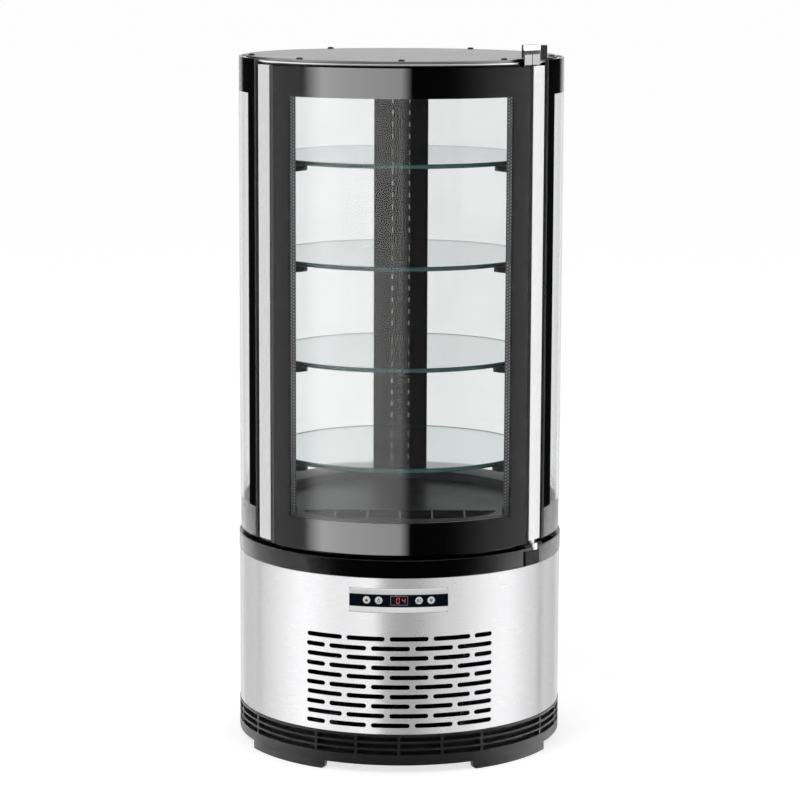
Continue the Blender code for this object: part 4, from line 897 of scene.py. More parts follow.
def stepped_ring(profile_at):
    """A ring whose (radius, level) outline depends on the angle from the front. Its stations stand
    close together where it steps back behind the door and where its sill steps down."""
    steps = [SILL_END, SILL_END + 0.3, FRAME_START - 0.3, FRAME_START, SEAM_END]
    angles = spread([0.0] + steps + [360 - angle for angle in steps[::-1]] + [360.0], 2.0)[:-1]
    profiles = np.array([profile_at(min(angle, 360 - angle)) for angle in angles])
    return loft(around(profiles[..., 0], angles[:, None], profiles[..., 1]), closed=True)


def notched_disc(radius):
    """A disc's outline with the notch that clears the upper hinge."""
    arc = around(radius, np.linspace(NOTCH_END, 360 + NOTCH_START, 220), 0)[:, :2]
    notch = around(NOTCH_INNER, np.linspace(NOTCH_START, NOTCH_END, 8), 0)[:, :2]
    return np.concatenate([arc, notch])


def lower_profile(angle):
    """The frame ring's outline: drawn in behind the door, with its sill lower there."""
    edge = sizes().moulding_edge
    outer = RING if angle > FRAME_START - 0.1 else FLANGE
    top = RING_TOP if angle > SILL_END + 0.1 else SILL_TOP
    seat = DECK_LOW - CLEARANCE
    return rounded([(RING_BORE, RING_LOW), (outer, RING_LOW), (outer, top), (DECK_BORE, top),
                    (DECK_BORE, seat), (RING_BORE, seat)], [0.0005, edge, edge, 0.0016, 0.0004, 0.0005])


def upper_profile(angle):
    """The upper frame's outline: drawn in behind the door, with a recess under its middle."""
    outer = FRAME if angle > FRAME_START - 0.1 else FLANGE
    recess, recess_depth, chamfer = 0.166, 0.003, 0.001
    return np.array([(0, UPPER_LOW + recess_depth), (recess, UPPER_LOW + recess_depth),
                     (recess + 0.002, UPPER_LOW), (outer - chamfer, UPPER_LOW),
                     (outer, UPPER_LOW + chamfer), (outer, UPPER_TOP), (0, UPPER_TOP)])


class DISPLAY_CASE_OT_rings(bpy.types.Operator):
    """Builds the black band, the frame rings, the top trim and the roof with its screws"""
    bl_idname = "display_case.rings"
    bl_label = "Bands, rings and roof"

    def execute(self, context):
        size = sizes()
        edge, bore, groove = size.moulding_edge, 0.204, 0.212
        band = rounded([(bore, BAND_LOW), (BODY, BAND_LOW), (BODY, BAND_TOP), (groove, BAND_TOP),
                        (groove, GROOVE_TOP), (bore, GROOVE_TOP)],
                       [0.0005, edge, edge, 0.0005, 0.0008, 0.0005])
        new_piece("gloss_band", [(ring(band, FULL_CIRCLE, closed=True), "gloss black")],
                  replaces=["base_band"])
        lower = new_piece("lower_ring", [(stepped_ring(lower_profile), "gloss black")],
                          replaces=["lower_frame_ring"])
        facing, centre = face_frames(lower)
        turn = np.abs(np.degrees(np.arctan2(centre[:, 0], -centre[:, 1])))
        is_seam = (turn > FRAME_START - 0.4) & (turn < SEAM_END)
        is_inside = (np.hypot(centre[:, 0], centre[:, 1]) < FLANGE - 0.0007) & (centre[:, 2] > DECK_TOP)
        # The ring's top and inner faces take the deck steel, whose dark tone is painted shade.
        is_shaded_metal = is_inside | (facing[:, 2] > 0.5)
        refinish(lower, ("deck metal", "seal rubber"), np.where(is_shaded_metal, 1, 2 * is_seam))
        new_piece("upper_ring", [(stepped_ring(upper_profile), "gloss black")],
                  replaces=["upper_frame"])
        rim_low = TRIM_LOW + 0.0018
        new_piece("top_trim", [(raised(notched_disc(TRIM), TRIM_LOW, rim_low), "gloss black")],
                  replaces=["top_cap"], bevel=0.0004)
        new_piece("top_trim_rim", [(raised(notched_disc(TRIM), rim_low, TRIM_TOP), "satin aluminium")],
                  replaces=["top_cap"], bevel=0.001)
        new_piece("roof_sheet", [(raised(notched_disc(ROOF), ROOF_LOW, ROOF_TOP), "brushed roof")],
                  replaces=["roof_plate"], bevel=0.0009)
        screw_circle, screw_height = ROOF - 0.005, 0.0024
        screws = [screw(size.screw_radius, screw_height, around(screw_circle, angle, ROOF_TOP), (0, 0, 1))
                  for angle in (0, -40.2, 40.5, -77.3, 77.3, -150.9, 151.7)]
        new_piece("roof_screws", [(together(*screws), "moulded black")])
        return {"FINISHED"}


def is_edge_highlight(angle, level):
    """The upright strip where a side pane's ground edge shows, greyed as a painted highlight of its light
    line.
    """
    return (np.abs(angle) < SIDE_EDGE_END) & (level > 0)


def is_side_print(angle, level):
    """The black print of a side pane: an upright stripe in front, and a band over the upper frame."""
    return ((np.abs(angle) < SIDE_PRINT_END) | (level > UPPER_LOW)) & ~is_edge_highlight(angle, level)


def is_side_clear(angle, level):
    return ~is_side_print(angle, level) & ~is_edge_highlight(angle, level)


class DISPLAY_CASE_OT_glazing(bpy.types.Operator):
    """Builds the side panes with their black print, the front posts and the light strips"""
    bl_idname = "display_case.glazing"
    bl_label = "Side glass, posts and lights"

    def execute(self, context):
        for side, hand in ((-1, "left"), (1, "right")):
            self.add_pane(side, hand)
            self.add_post(side, hand)
            self.add_light(side, hand)
        return {"FINISHED"}

    def add_pane(self, side, hand):
        angles = np.sort(side * spread([SIDE_START, SIDE_EDGE_END, SIDE_PRINT_END, SIDE_END], 2.0))
        levels = spread([GLASS_LOW, UPPER_LOW, GLASS_TOP], 0.7)

        def part(is_there):
            return lattice(GLASS_INNER, GLASS, angles, levels, is_there)

        new_piece("side_pane_" + hand, [(part(is_side_clear), "side pane")],
                  replaces=["side_glass_" + hand])
        new_piece("side_print_" + hand, [(part(is_side_print), "printed black"),
                                         (part(is_edge_highlight), "glass edge")],
                  replaces=["side_glass_" + hand])

    def add_post(self, side, hand):
        start, end = 50, 69
        flange = around(FLANGE, side * np.linspace(start, FRAME_START - 1, 8), 0)
        outer = around(FRAME, side * np.linspace(FRAME_START, end, 8), 0)
        inner = around(POST_INNER, side * np.linspace(end, start, 12), 0)
        post = raised(np.concatenate([flange, outer, inner])[:, :2], GLASS_LOW, UPPER_LOW - CLEARANCE)
        new_piece("front_post_" + hand, [(post, "gloss black")],
                  replaces=["post_" + hand], bevel=0.001)

    def add_light(self, side, hand):
        start, width, back, end_gap, arc_radius = 55, 0.0132, 0.1858, 0.006, 0.189
        flat = rounded(oblong(back, CLIP, 0, width), [0.0012, 0.0003, 0.0003, 0.0012])
        bent = around(flat[:, 0], side * (start + np.degrees(flat[:, 1] / arc_radius)), 0)[:, :2]
        new_piece("light_diffuser_" + hand,
                  [(raised(bent, GLASS_LOW + end_gap, UPPER_LOW - end_gap), "light diffuser")],
                  replaces=["light_strip_" + hand], bevel=0.0005)


def column_face(half, low, high, holes_x, half_width, rows, half_height):
    """The column's front sheet, a flat grid with two columns of upright slots, each of twice the given
    half width and half height."""
    edges_x = np.array([half, holes_x - half_width, holes_x + half_width])
    edges_z = np.concatenate([[low, high], rows - half_height, rows + half_height])
    across = spread(np.concatenate([-edges_x, edges_x]), 0.02)
    up = np.unique(np.round(edges_z, 9))
    middle_x = (across[:-1] + across[1:]) / 2
    middle_z = (up[:-1] + up[1:]) / 2
    in_row = (np.abs(middle_z[:, None] - rows[None, :]) < half_height).any(axis=1)
    in_column = np.abs(np.abs(middle_x) - holes_x) < half_width
    x, z = np.meshgrid(across, up)
    front, back = (np.stack([x, np.full(x.shape, COLUMN_FACE + depth), z], axis=-1) for depth in (0, 0.002))
    return shell_between(front, back, ~(in_row[:, None] & in_column[None, :]))


class DISPLAY_CASE_OT_column(bpy.types.Operator):
    """Builds the rear air column with its slots and cover"""
    bl_idname = "display_case.column"
    bl_label = "Rear column"

    def execute(self, context):
        half, half_wall, holes_x, half_slot_width, half_slot_height = 0.039, 0.001, 0.0125, 0.0008, 0.0034
        slot_pitch, half_mark_width, half_mark_height, mark_pitch = 0.0173, 0.0033, 0.0036, 0.0138
        low, high = GLASS_LOW, UPPER_LOW - CLEARANCE
        back = math.sqrt(GLASS_INNER ** 2 - half ** 2) + 2 * half_wall
        rows = np.arange(low + 0.012, high - 0.012, slot_pitch)
        face = column_face(half, low, high, holes_x, half_slot_width, rows, half_slot_height)
        sides = [box_shape((side * (half - half_wall) - half_wall, COLUMN_FACE + 0.0001, low),
                           (side * (half - half_wall) + half_wall, back, high)) for side in (-1, 1)]
        cover = ring(oblong(GLASS_INNER, GLASS, GLASS_LOW, GLASS_TOP),
                     np.linspace(180 - COVER_HALF, 180 + COVER_HALF, 12))
        hooks = [box_shape((side * holes_x - half_slot_width, COLUMN_FACE + 0.0004, level - 0.0032),
                           (side * holes_x + half_slot_width, COLUMN_FACE + 0.0016, level + 0.0032))
                 for side in (-1, 1) for level in rows]
        marks = [box_shape((-half_mark_width, COLUMN_FACE - 0.00025, level - half_mark_height),
                           (half_mark_width, COLUMN_FACE + 0.0005, level + half_mark_height))
                 for level in np.arange(low + 0.02, high - 0.02, mark_pitch)]
        new_piece("air_column", [(together(face, *sides, cover), "column black"),
                                 (together(*hooks), "column slot"), (together(*marks), "column mark")],
                  replaces=["rear_column"])
        return {"FINISHED"}


def deck_shape():
    """The round deck with its crescent opening, as a grid of directions and distances from the middle
    of the opening's straight edge: each distance to a circle round the axis is
    sqrt(radius^2 - (p * sin(turn))^2) - p * cos(turn), with p the edge's distance from the axis."""
    turn = np.radians(np.concatenate([np.linspace(-90, 90, 91), np.linspace(92, 268, 89)]))

    def reach(radius):
        return np.sqrt(radius ** 2 - (VENT_CHORD * np.sin(turn)) ** 2) - VENT_CHORD * np.cos(turn)

    distance = np.stack([np.zeros(len(turn)), reach(VENT + CLEARANCE), reach(DECK)])
    x = distance * np.sin(turn)
    y = -VENT_CHORD - distance * np.cos(turn)
    top = np.stack([x, y, np.full(x.shape, DECK_TOP)], axis=-1)
    bottom = np.stack([x, y, np.full(x.shape, DECK_LOW)], axis=-1)
    middle = (turn + np.append(turn[1:], turn[0] + 2 * np.pi)) / 2
    behind = np.cos(middle) < 0
    present = np.stack([behind, np.ones(len(turn), bool)])
    return shell_between(top, bottom, present, closed=True)


def vent_shape():
    """The vent's rim in two shapes, front and ends, with its slats and ribs. The rim fills the
    crescent up to an opening whose front edge is y = -chord - depth * sqrt(1 - |x / half|^2.5); slats
    cross the opening and ribs cross the slats."""
    limit = math.degrees(math.acos(VENT_CHORD / VENT))
    low, high = DECK_TOP - 0.003, DECK_TOP
    half, depth, back = 0.1355, 0.064, -VENT_CHORD - 0.002
    front_half, half_slat, half_rib = 0.118, 0.0019, 0.0012

    def front(x):
        return back - depth * np.sqrt(1 - np.minimum(np.abs(x) / half, 1) ** 2.5)

    outer = around(VENT, np.linspace(-limit, limit, 70), 0)[:, :2]
    inner_x = outer[:, 0] * half / outer[:, 0].max()
    inner = np.stack([inner_x, front(inner_x)], axis=1)
    corners = ((outer, low), (outer, high), (inner, high), (inner, low))
    points, (quads,) = loft(np.stack([levelled(outline, level) for outline, level in corners], axis=1), True)
    is_front = np.repeat(np.abs(inner_x) < front_half, 4)
    slats = []
    for y in back - 0.0025 - 0.0118 * np.arange(5):
        reach = half * (1 - ((back - y + half_slat) / depth) ** 2) ** 0.4 + 0.0005
        slats.append(box_shape((-reach, y - half_slat, low + 0.0002), (reach, y + half_slat, high - 0.0006)))
    ribs = [box_shape((x - half_rib, front(x) - 0.001, low + 0.0004),
                      (x + half_rib, back + 0.001, high - 0.0001)) for x in 0.0453 * np.arange(-2, 3)]
    return (points, [quads[is_front]]), (points, [quads[~is_front]]), together(*slats), together(*ribs)


class DISPLAY_CASE_OT_deck(bpy.types.Operator):
    """Builds the metal deck and the louvred vent in front"""
    bl_idname = "display_case.deck"
    bl_label = "Deck and vent"

    def execute(self, context):
        new_piece("deck_disc", [(deck_shape(), "deck metal")], replaces=["deck_plate"],
                  bevel=0.0003)
        front, ends, slats, ribs = vent_shape()
        new_piece("vent_louvres", [(front, "vent rim"), (ends, "deck metal"), (slats, "vent black"),
                                   (ribs, "vent rib")], replaces=["deck_vent"],
                  bevel=0.0003)
        return {"FINISHED"}


def clip_shape(side, top):
    """A shelf clip: upright oblongs carried from the root to the tip, whose inner side closes on the
    outer one as an ellipse and whose underside rises in a straight line."""
    turn = np.array([54.0, 52.0, 50.0, 48.5, 47.8, 46.8, 46.0, 45.3, 44.8, 44.4, 44.15])
    nose_start, tip, full_width, tip_height = 47.8, 44.0, 0.0136, 0.006
    share = np.clip((nose_start - turn) / (nose_start - tip), 0, 1)
    width = full_width * np.sqrt(1 - share ** 2)
    drop = tip_height + 0.0004 * (turn - tip) - 0.002 * share ** 2
    return loft(oblongs_at(CLIP - width, CLIP, side * turn, top - drop, top))


def bracket_shape(top):
    """A rear bracket: oblongs carried forward from the column, narrowing to a round nose."""
    length, nose, root_half, nose_half, root_height, nose_height = 0.030, 0.012, 0.016, 0.007, 0.014, 0.004
    away = length * np.array([0, 0.3, 0.6, 0.75, 0.85, 0.93, 0.98, 1.0])
    share = np.clip((away - length + nose) / nose, 0, 1)
    half = nose_half + (root_half - nose_half) * np.sqrt(1 - np.minimum(share, 0.98) ** 2)
    drop = root_height - (root_height - nose_height) * away / length
    y = COLUMN_FACE - CLEARANCE - away
    full = np.full(len(y), top)
    corners = ((-half, top - drop), (half, top - drop), (half, full), (-half, full))
    return loft(np.stack([np.stack([x, y, z], axis=1) for x, z in corners], axis=1))


def shelf_parts(low, high):
    """A round pane as (shape, finish) pairs: its underside, its ground rim and its top."""
    edge, flat = sizes().shelf_edge, SHELF - 0.004
    rim = rounded(oblong(flat, SHELF, low, high), [0, edge, edge, 0], 5)
    start = int(np.abs(rim - (flat, low)).sum(axis=1).argmin())
    profiles = ((np.array([(0, low), (flat, low)]), "shelf glass"),
                (np.roll(rim, -start, axis=0), "shelf rim"),
                (np.array([(flat, high), (0, high)]), "shelf glass"))
    turns = np.linspace(0, 360, 160, endpoint=False)[None, :]
    parts = []
    for profile, finish in profiles:
        points = around(profile[:, :1], turns, profile[:, 1:])
        parts.append(((points.reshape(-1, 3), [quads_of(points, False, True).reshape(-1, 4)]), finish))
    return parts


class DISPLAY_CASE_OT_shelves(bpy.types.Operator):
    """Builds the four glass shelves with their clips and brackets"""
    bl_idname = "display_case.shelves"
    bl_label = "Glass shelves"

    def execute(self, context):
        for number in range(1, 5):
            low, high = levels_of("shelf_%d" % number)
            new_piece("shelf_pane_%d" % number, shelf_parts(low, high),
                      replaces=["shelf_%d" % number])
            top = low - CLEARANCE
            for side, hand in ((-1, "left"), (1, "right")):
                new_piece("clip_%s_%d" % (hand, number), [(clip_shape(side, top), "moulded black")],
                          replaces=["shelf_clip_%s_%d" % (hand, number)],
                          bevel=0.0008)
            new_piece("bracket_%d" % number, [(bracket_shape(top), "moulded black")],
                      replaces=["shelf_bracket_%d" % number], bevel=0.0008)
        return {"FINISHED"}


def frame_between(inner, outer, opening, rim, low, high, height):
    """A curved frame round an opening: a lattice with its middle left out."""
    angles = spread([-rim, -opening, opening, rim], 2.0)
    levels = [low - height, low, high, high + height]

    def is_solid(angle, level):
        return (np.abs(angle) > opening) | (level < low) | (level > high)

    return lattice(inner, outer, angles, levels, is_solid)


def spacer_hole_glints():
    """The small holes in the spacer's inner faces, as short oval mirror pads, their brightness a painted
    highlight of the light the holes catch: two staggered columns up each side, and one row along the top
    and the bottom."""
    pitch = sizes().hole_pitch
    front_column, rear_column = 0.2237, 0.2190
    hole_wide, hole_high, raised_angle, raised_height = 0.0011, 0.00115, 0.05, 0.0002
    glint_pads = []
    turn = np.linspace(0, 2 * np.pi, 10, endpoint=False)
    for side in (-1, 1):
        for radius, start in ((front_column, pitch / 2), (rear_column, pitch)):
            for level in np.arange(WINDOW_LOW + start, WINDOW_TOP - pitch / 4, pitch):
                glint_pads.append(loft([around(radius + hole_wide * np.cos(turn), side * (SPACER_START - lift),
                                         level + hole_high * np.sin(turn))
                                  for lift in (-raised_angle, raised_angle)]))
    for level, lift in ((WINDOW_LOW, raised_height), (WINDOW_TOP, -raised_height)):
        for angle in np.arange(-SPACER_START + 0.6, SPACER_START, math.degrees(pitch / front_column)):
            angles = angle + np.degrees(hole_high * np.cos(turn) / front_column)
            radii = front_column + hole_wide * np.sin(turn)
            glint_pads.append(loft([around(radii, angles, level - lift), around(radii, angles, level + lift)]))
    return together(*glint_pads)


class DISPLAY_CASE_OT_door(bpy.types.Operator):
    """Builds the curved double-glazed door with its border, spacer, seal and edge profiles"""
    bl_idname = "display_case.door"
    bl_label = "Door"

    def execute(self, context):
        self.add_outer_pane()
        inner = ring(oblong(INNER_PANE_BACK, INNER_PANE, DOOR_LOW, DOOR_TOP),
                     spread([-DOOR_EDGE, DOOR_EDGE], 1.5))
        new_piece("door_back_pane", [(inner, "inner pane")], "door", ["door_inner_glass"])
        self.add_spacer()
        self.add_seals()
        for side, hand in ((-1, "left"), (1, "right")):
            start, end = sorted((side * PROFILE_START, side * PROFILE_END))
            outline = sector_outline(INNER_PANE_BACK, BODY, start, end, 0.0016)
            profile = raised(outline, PROFILE_LOW, PROFILE_TOP)
            new_piece("door_edge_profile_" + hand, [(profile, "brushed aluminium")], "door",
                      ["door_profile_" + hand], bevel=0.0004, smooth=50)
        return {"FINISHED"}

    def add_outer_pane(self):
        window = math.degrees(sizes().window_angle)
        angles = spread([-DOOR_EDGE, -DOOR_TRIM, -window, window, DOOR_TRIM, DOOR_EDGE], 1.5)
        levels = [DOOR_LOW, WINDOW_LOW, WINDOW_TOP, DOOR_TOP]

        def is_clear(angle, level):
            return (np.abs(angle) < window) & (level > WINDOW_LOW) & (level < WINDOW_TOP)

        def is_trim(angle, level):
            return (np.abs(angle) > DOOR_TRIM) & (level > 0)

        def is_border(angle, level):
            return ~is_clear(angle, level) & ~is_trim(angle, level)

        def part(is_there):
            return lattice(PANE_BACK, BODY, angles, levels, is_there)

        new_piece("door_border", [(part(is_border), "printed black"), (part(is_trim), "seal rubber")],
                  "door", ["door_outer_glass"])
        new_piece("door_window", [(part(is_clear), "door pane")], "door", ["door_outer_glass"])

    def add_spacer(self):
        spacer = frame_between(INNER_PANE + 0.0007, PANE_BACK - 0.0007, SPACER_START, SPACER_END,
                               WINDOW_LOW, WINDOW_TOP, SPACER_WIDTH)
        bar = new_piece("door_spacer_bar", [(spacer, "spacer bar"), (spacer_hole_glints(), "spacer hole")],
                        "door", ["door_spacer"])
        facing, centre = face_frames(bar)
        is_sill = (facing[:, 2] > 0.5) & (centre[:, 2] < WINDOW_LOW + 0.0001)
        finish = np.empty(len(facing), np.int32)
        bar.data.polygons.foreach_get("material_index", finish)
        refinish(bar, ["seal rubber"], np.where(is_sill, 2, finish))

    def add_seals(self):
        start, end = SPACER_END + 0.1, DOOR_EDGE - 0.2
        levels = [DOOR_LOW + 0.002, SPACER_LOW - 0.0004, SPACER_TOP + 0.0004, DOOR_TOP - 0.002]

        def is_sealed(angle, level):
            return (np.abs(angle) > start) | (level < SPACER_LOW) | (level > SPACER_TOP)

        sealant = lattice(INNER_PANE + CLEARANCE, PANE_BACK - CLEARANCE,
                          spread([-end, -start, start, end], 2.0), levels, is_sealed)
        new_piece("door_edge_sealant", [(sealant, "seal rubber")], "door")
        inner, outer, seal_start, seal_end, width = 0.2005, 0.2093, 47.5, 52.5, 0.013
        seal = frame_between(inner, outer, seal_start, seal_end, SEAL_LOW + width, SEAL_TOP - width, width)
        new_piece("door_seal", [(seal, "seal rubber")], "door", ["door_gasket"], bevel=0.0018)


def hinge_leaf(left, right, low, high, inset, curve):
    """Part of the upper hinge block: upright outlines carried from left to right. Each runs back from
    the front circle y = -sqrt(radius^2 - x^2) to the inner one or to the block's end face, and its top
    front edge is an arc of the given radius."""
    x = np.linspace(left, right, 9)
    outer, inner, end = BODY + 0.0005 - inset, 0.207 + inset, math.radians(56.6)
    front = -np.sqrt(outer ** 2 - x ** 2)
    back = np.minimum(-np.sqrt(inner ** 2 - x ** 2), -x / math.tan(end))
    turn = np.radians(np.linspace(0, 90, 8))
    y = np.concatenate([front[:, None], front[:, None] + curve * (1 - np.cos(turn)), back[:, None],
                        back[:, None]], axis=1)
    z = np.concatenate([[low], high - curve * (1 - np.sin(turn)), [high, low]])
    return loft(np.stack([np.broadcast_to(x[:, None], y.shape), y, np.broadcast_to(z, y.shape)], axis=-1))


class DISPLAY_CASE_OT_hinges(bpy.types.Operator):
    """Builds the lower hinge, the chrome upper hinge block and its roof bracket"""
    bl_idname = "display_case.hinges"
    bl_label = "Hinges"

    def execute(self, context):
        self.add_lower()
        self.add_upper()
        inner, outer, start, end, corner = 0.195, 0.225, 56.9, 62.6, 0.0018
        bracket = raised(sector_outline(inner, outer, start, end, corner), *levels_of("upper_hinge_bracket"))
        new_piece("hinge_roof_bracket", [(bracket, "moulded black")],
                  replaces=["upper_hinge_bracket"], bevel=0.001, smooth=50)
        return {"FINISHED"}

    def add_lower(self):
        arm_low = BAND_TOP + CLEARANCE
        arm_top = arm_low + 0.0035
        block_low, block_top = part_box("lower_hinge")[0].z, 0.2956
        block_start, block_end, arm_start, arm_end = 48.9, 56.9, 49.5, 60.3
        block = ring(rounded(oblong(BODY + CLEARANCE, BODY + 0.0023, block_low, block_top),
                             [0.0003, 0.0008, 0.0006, 0.0003]), np.linspace(block_start, block_end, 14))
        arm = ring(rounded(oblong(0.2138, BODY - 0.0006, arm_low, arm_top), 0.0004),
                   np.linspace(arm_start, arm_end, 14))
        new_piece("hinge_lower", [(together(block, arm), "moulded black")],
                  replaces=["lower_hinge"], bevel=0.0003)
        rim, sunk, outward = 0.0068, block_top - 0.0005, 1.0105
        bushing = turned([(0, sunk), (rim, sunk), (rim, arm_top + 0.0002),
                          (rim - 0.0006, arm_top + 0.0008), (0, arm_top + 0.0009)],
                         32, (outward * HINGE_X, outward * HINGE_Y, 0))
        shoulder, tip, collar = PROFILE_LOW - CLEARANCE, PROFILE_LOW + 0.012, 0.0046
        pin = turned([(0, arm_top), (collar, arm_top), (collar - 0.0001, shoulder), (HINGE_PIN, shoulder),
                      (HINGE_PIN, tip), (0, tip)], 32, (HINGE_X, HINGE_Y, 0))
        new_piece("hinge_lower_bushing", [(together(bushing, pin), "satin aluminium")],
                  replaces=["lower_hinge"], smooth=50)

    def add_upper(self):
        (left, _, _), (right, _, high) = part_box("upper_hinge_block")
        low, head_low, panel_top = DOOR_TOP + 0.001, 0.9872, 0.9818
        middle = (left + right) / 2 + 0.0002
        core = hinge_leaf(left + 0.0002, right - 0.0002, low, head_low, 0.0004, 0.0006)
        head = hinge_leaf(left, right, head_low, high, 0.0, 0.0045)
        panels = [hinge_leaf(start, end, low + 0.0008, panel_top, 0.0001, 0.0004)
                  for start, end in ((left + 0.0012, middle - 0.0005), (middle + 0.0005, right - 0.0010))]
        pin_low, pin_top = DOOR_TOP - 0.012, low + 0.0005
        pin = turned([(0, pin_low), (HINGE_PIN, pin_low), (HINGE_PIN, pin_top), (0, pin_top)], 24,
                     (HINGE_X, HINGE_Y, 0))
        new_piece("hinge_upper", [(core, "gloss black"), (head, "satin aluminium"),
                                  (together(*panels), "brushed roof"), (pin, "chrome")],
                  replaces=["upper_hinge_block"], bevel=0.0003, smooth=50)


def control_plate_shape():
    """The silver plate: a strip above and one below the black face, as two lattices with stepped
    edges. Outer corners round off as r - sqrt(r^2 - (r - d)^2) over the distance d from the end."""
    corner, back_radius = 0.0022, BODY - 0.0035
    fine = np.array([0.0, 0.05, 0.12, 0.22, 0.35])
    angles = np.concatenate([PLATE_START + fine, spread([PLATE_START + 0.6, PLATE_END - 0.6], 1.2),
                             PLATE_END - fine[::-1]])
    away = np.minimum(np.radians(np.minimum(angles - PLATE_START, PLATE_END - angles)) * BODY, corner)
    cut = corner - np.sqrt(corner ** 2 - (corner - away) ** 2)
    share = np.array([0.0, 0.08, 0.42, 0.48, 0.92, 1.0])[:, None]
    radius = BODY - np.array([0.0007, 0.0, 0.0, 0.0002, 0.0002, 0.0007])[:, None]
    strips = []
    for rim, edge, inward in ((PLATE_LOW - 0.001, FACE_LOW, 1), (PLATE_TOP, FACE_TOP, -1)):
        level = rim + inward * cut * (1 - share) + (edge - rim) * share
        front = around(radius, angles[None, :], level)
        back = around(back_radius, angles[None, :], level)
        strips.append(shell_between(front, back, np.ones((len(share) - 1, len(angles) - 1), bool)))
    return together(*strips)


def segment(centre, length, thickness, is_upright):
    """A display segment: a slim hexagon with pointed ends."""
    along = np.array([-1, -1, 1, 1, 1, -1]) * length / 2
    inset = np.array([0, 1, -1, 0, -1, 1]) * thickness / 2
    across = np.array([0, 1, 1, 0, -1, -1]) * thickness / 2
    outline = np.stack([along + inset, across], axis=1)
    if is_upright:
        outline = outline[:, ::-1]
    return outline + np.asarray(centre)


def digit(which, width, height, thickness):
    """The outlines of a seven-segment digit's bars, leaning a little to the right."""
    names = {"0": "abcdef", "4": "fgbc", "8": "abcdefg"}[which]
    places = {"a": (0, 1, False), "g": (0, 0, False), "d": (0, -1, False), "f": (-1, 0.5, True),
              "b": (1, 0.5, True), "e": (-1, -0.5, True), "c": (1, -0.5, True)}
    outlines = []
    for name in names:
        x, y, upright = places[name]
        centre = (x * (width - thickness) / 2, y * (height - thickness) / 2)
        length = (height - thickness) / 2 - 0.0002 if upright else width - thickness - 0.0002
        outline = segment(centre, length, thickness, upright)
        outline[:, 0] += outline[:, 1] * 0.06
        outlines.append(outline)
    return outlines


def on_display(outline, angle):
    """A flat outline in metres, laid round the display at one angle, as (angle, level) points."""
    return np.column_stack([angle + np.degrees(outline[:, 0] / BODY), outline[:, 1] + DISPLAY_MIDDLE])


def display_marks(angle, outlines):
    """Thin flat marks on the display."""
    return together(*(relief(on_display(outline, angle), BODY - 0.0004, BODY - 0.00004)
                      for outline in outlines))


def symbol_outlines(name):
    """The flat outlines of a button's mark: an arrow, a ring with a drop over it, or a small chart."""
    if name == "button_up":
        return [np.array([(-0.0024, -0.0018), (0.0024, -0.0018), (0.0, 0.0024)])]
    if name == "button_down":
        return [np.array([(-0.0024, 0.0018), (-0.0009, 0.0018), (0.0, 0.0010), (0.0009, 0.0018),
                          (0.0024, 0.0018), (0.0, -0.0024)])]
    if name == "button_light":
        turn = np.linspace(0, 2 * np.pi, 20, endpoint=False)
        arc = np.linspace(np.radians(125), np.radians(415), 24)
        outer = np.stack([0.0019 * np.cos(arc), 0.0019 * np.sin(arc) - 0.0008], axis=1)
        inner = np.stack([0.0012 * np.cos(arc[::-1]), 0.0012 * np.sin(arc[::-1]) - 0.0008], axis=1)
        drop = np.stack([0.0008 * np.cos(turn), 0.0013 * np.sin(turn) + 0.0016], axis=1)
        return [np.concatenate([outer, inner]), drop]
    bars = [oblong(-0.0027, -0.0004, y - 0.0003, y + 0.0003) for y in (-0.0015, 0.0, 0.0015)]
    posts = [oblong_about(x, 0, 0.0003, 0.0018) for x in (-0.0026, -0.0005)]
    dots = [oblong(0.0010, 0.0024, y - 0.0006, y + 0.0006) for y in (-0.0013, 0.0013)]
    return bars + posts + dots


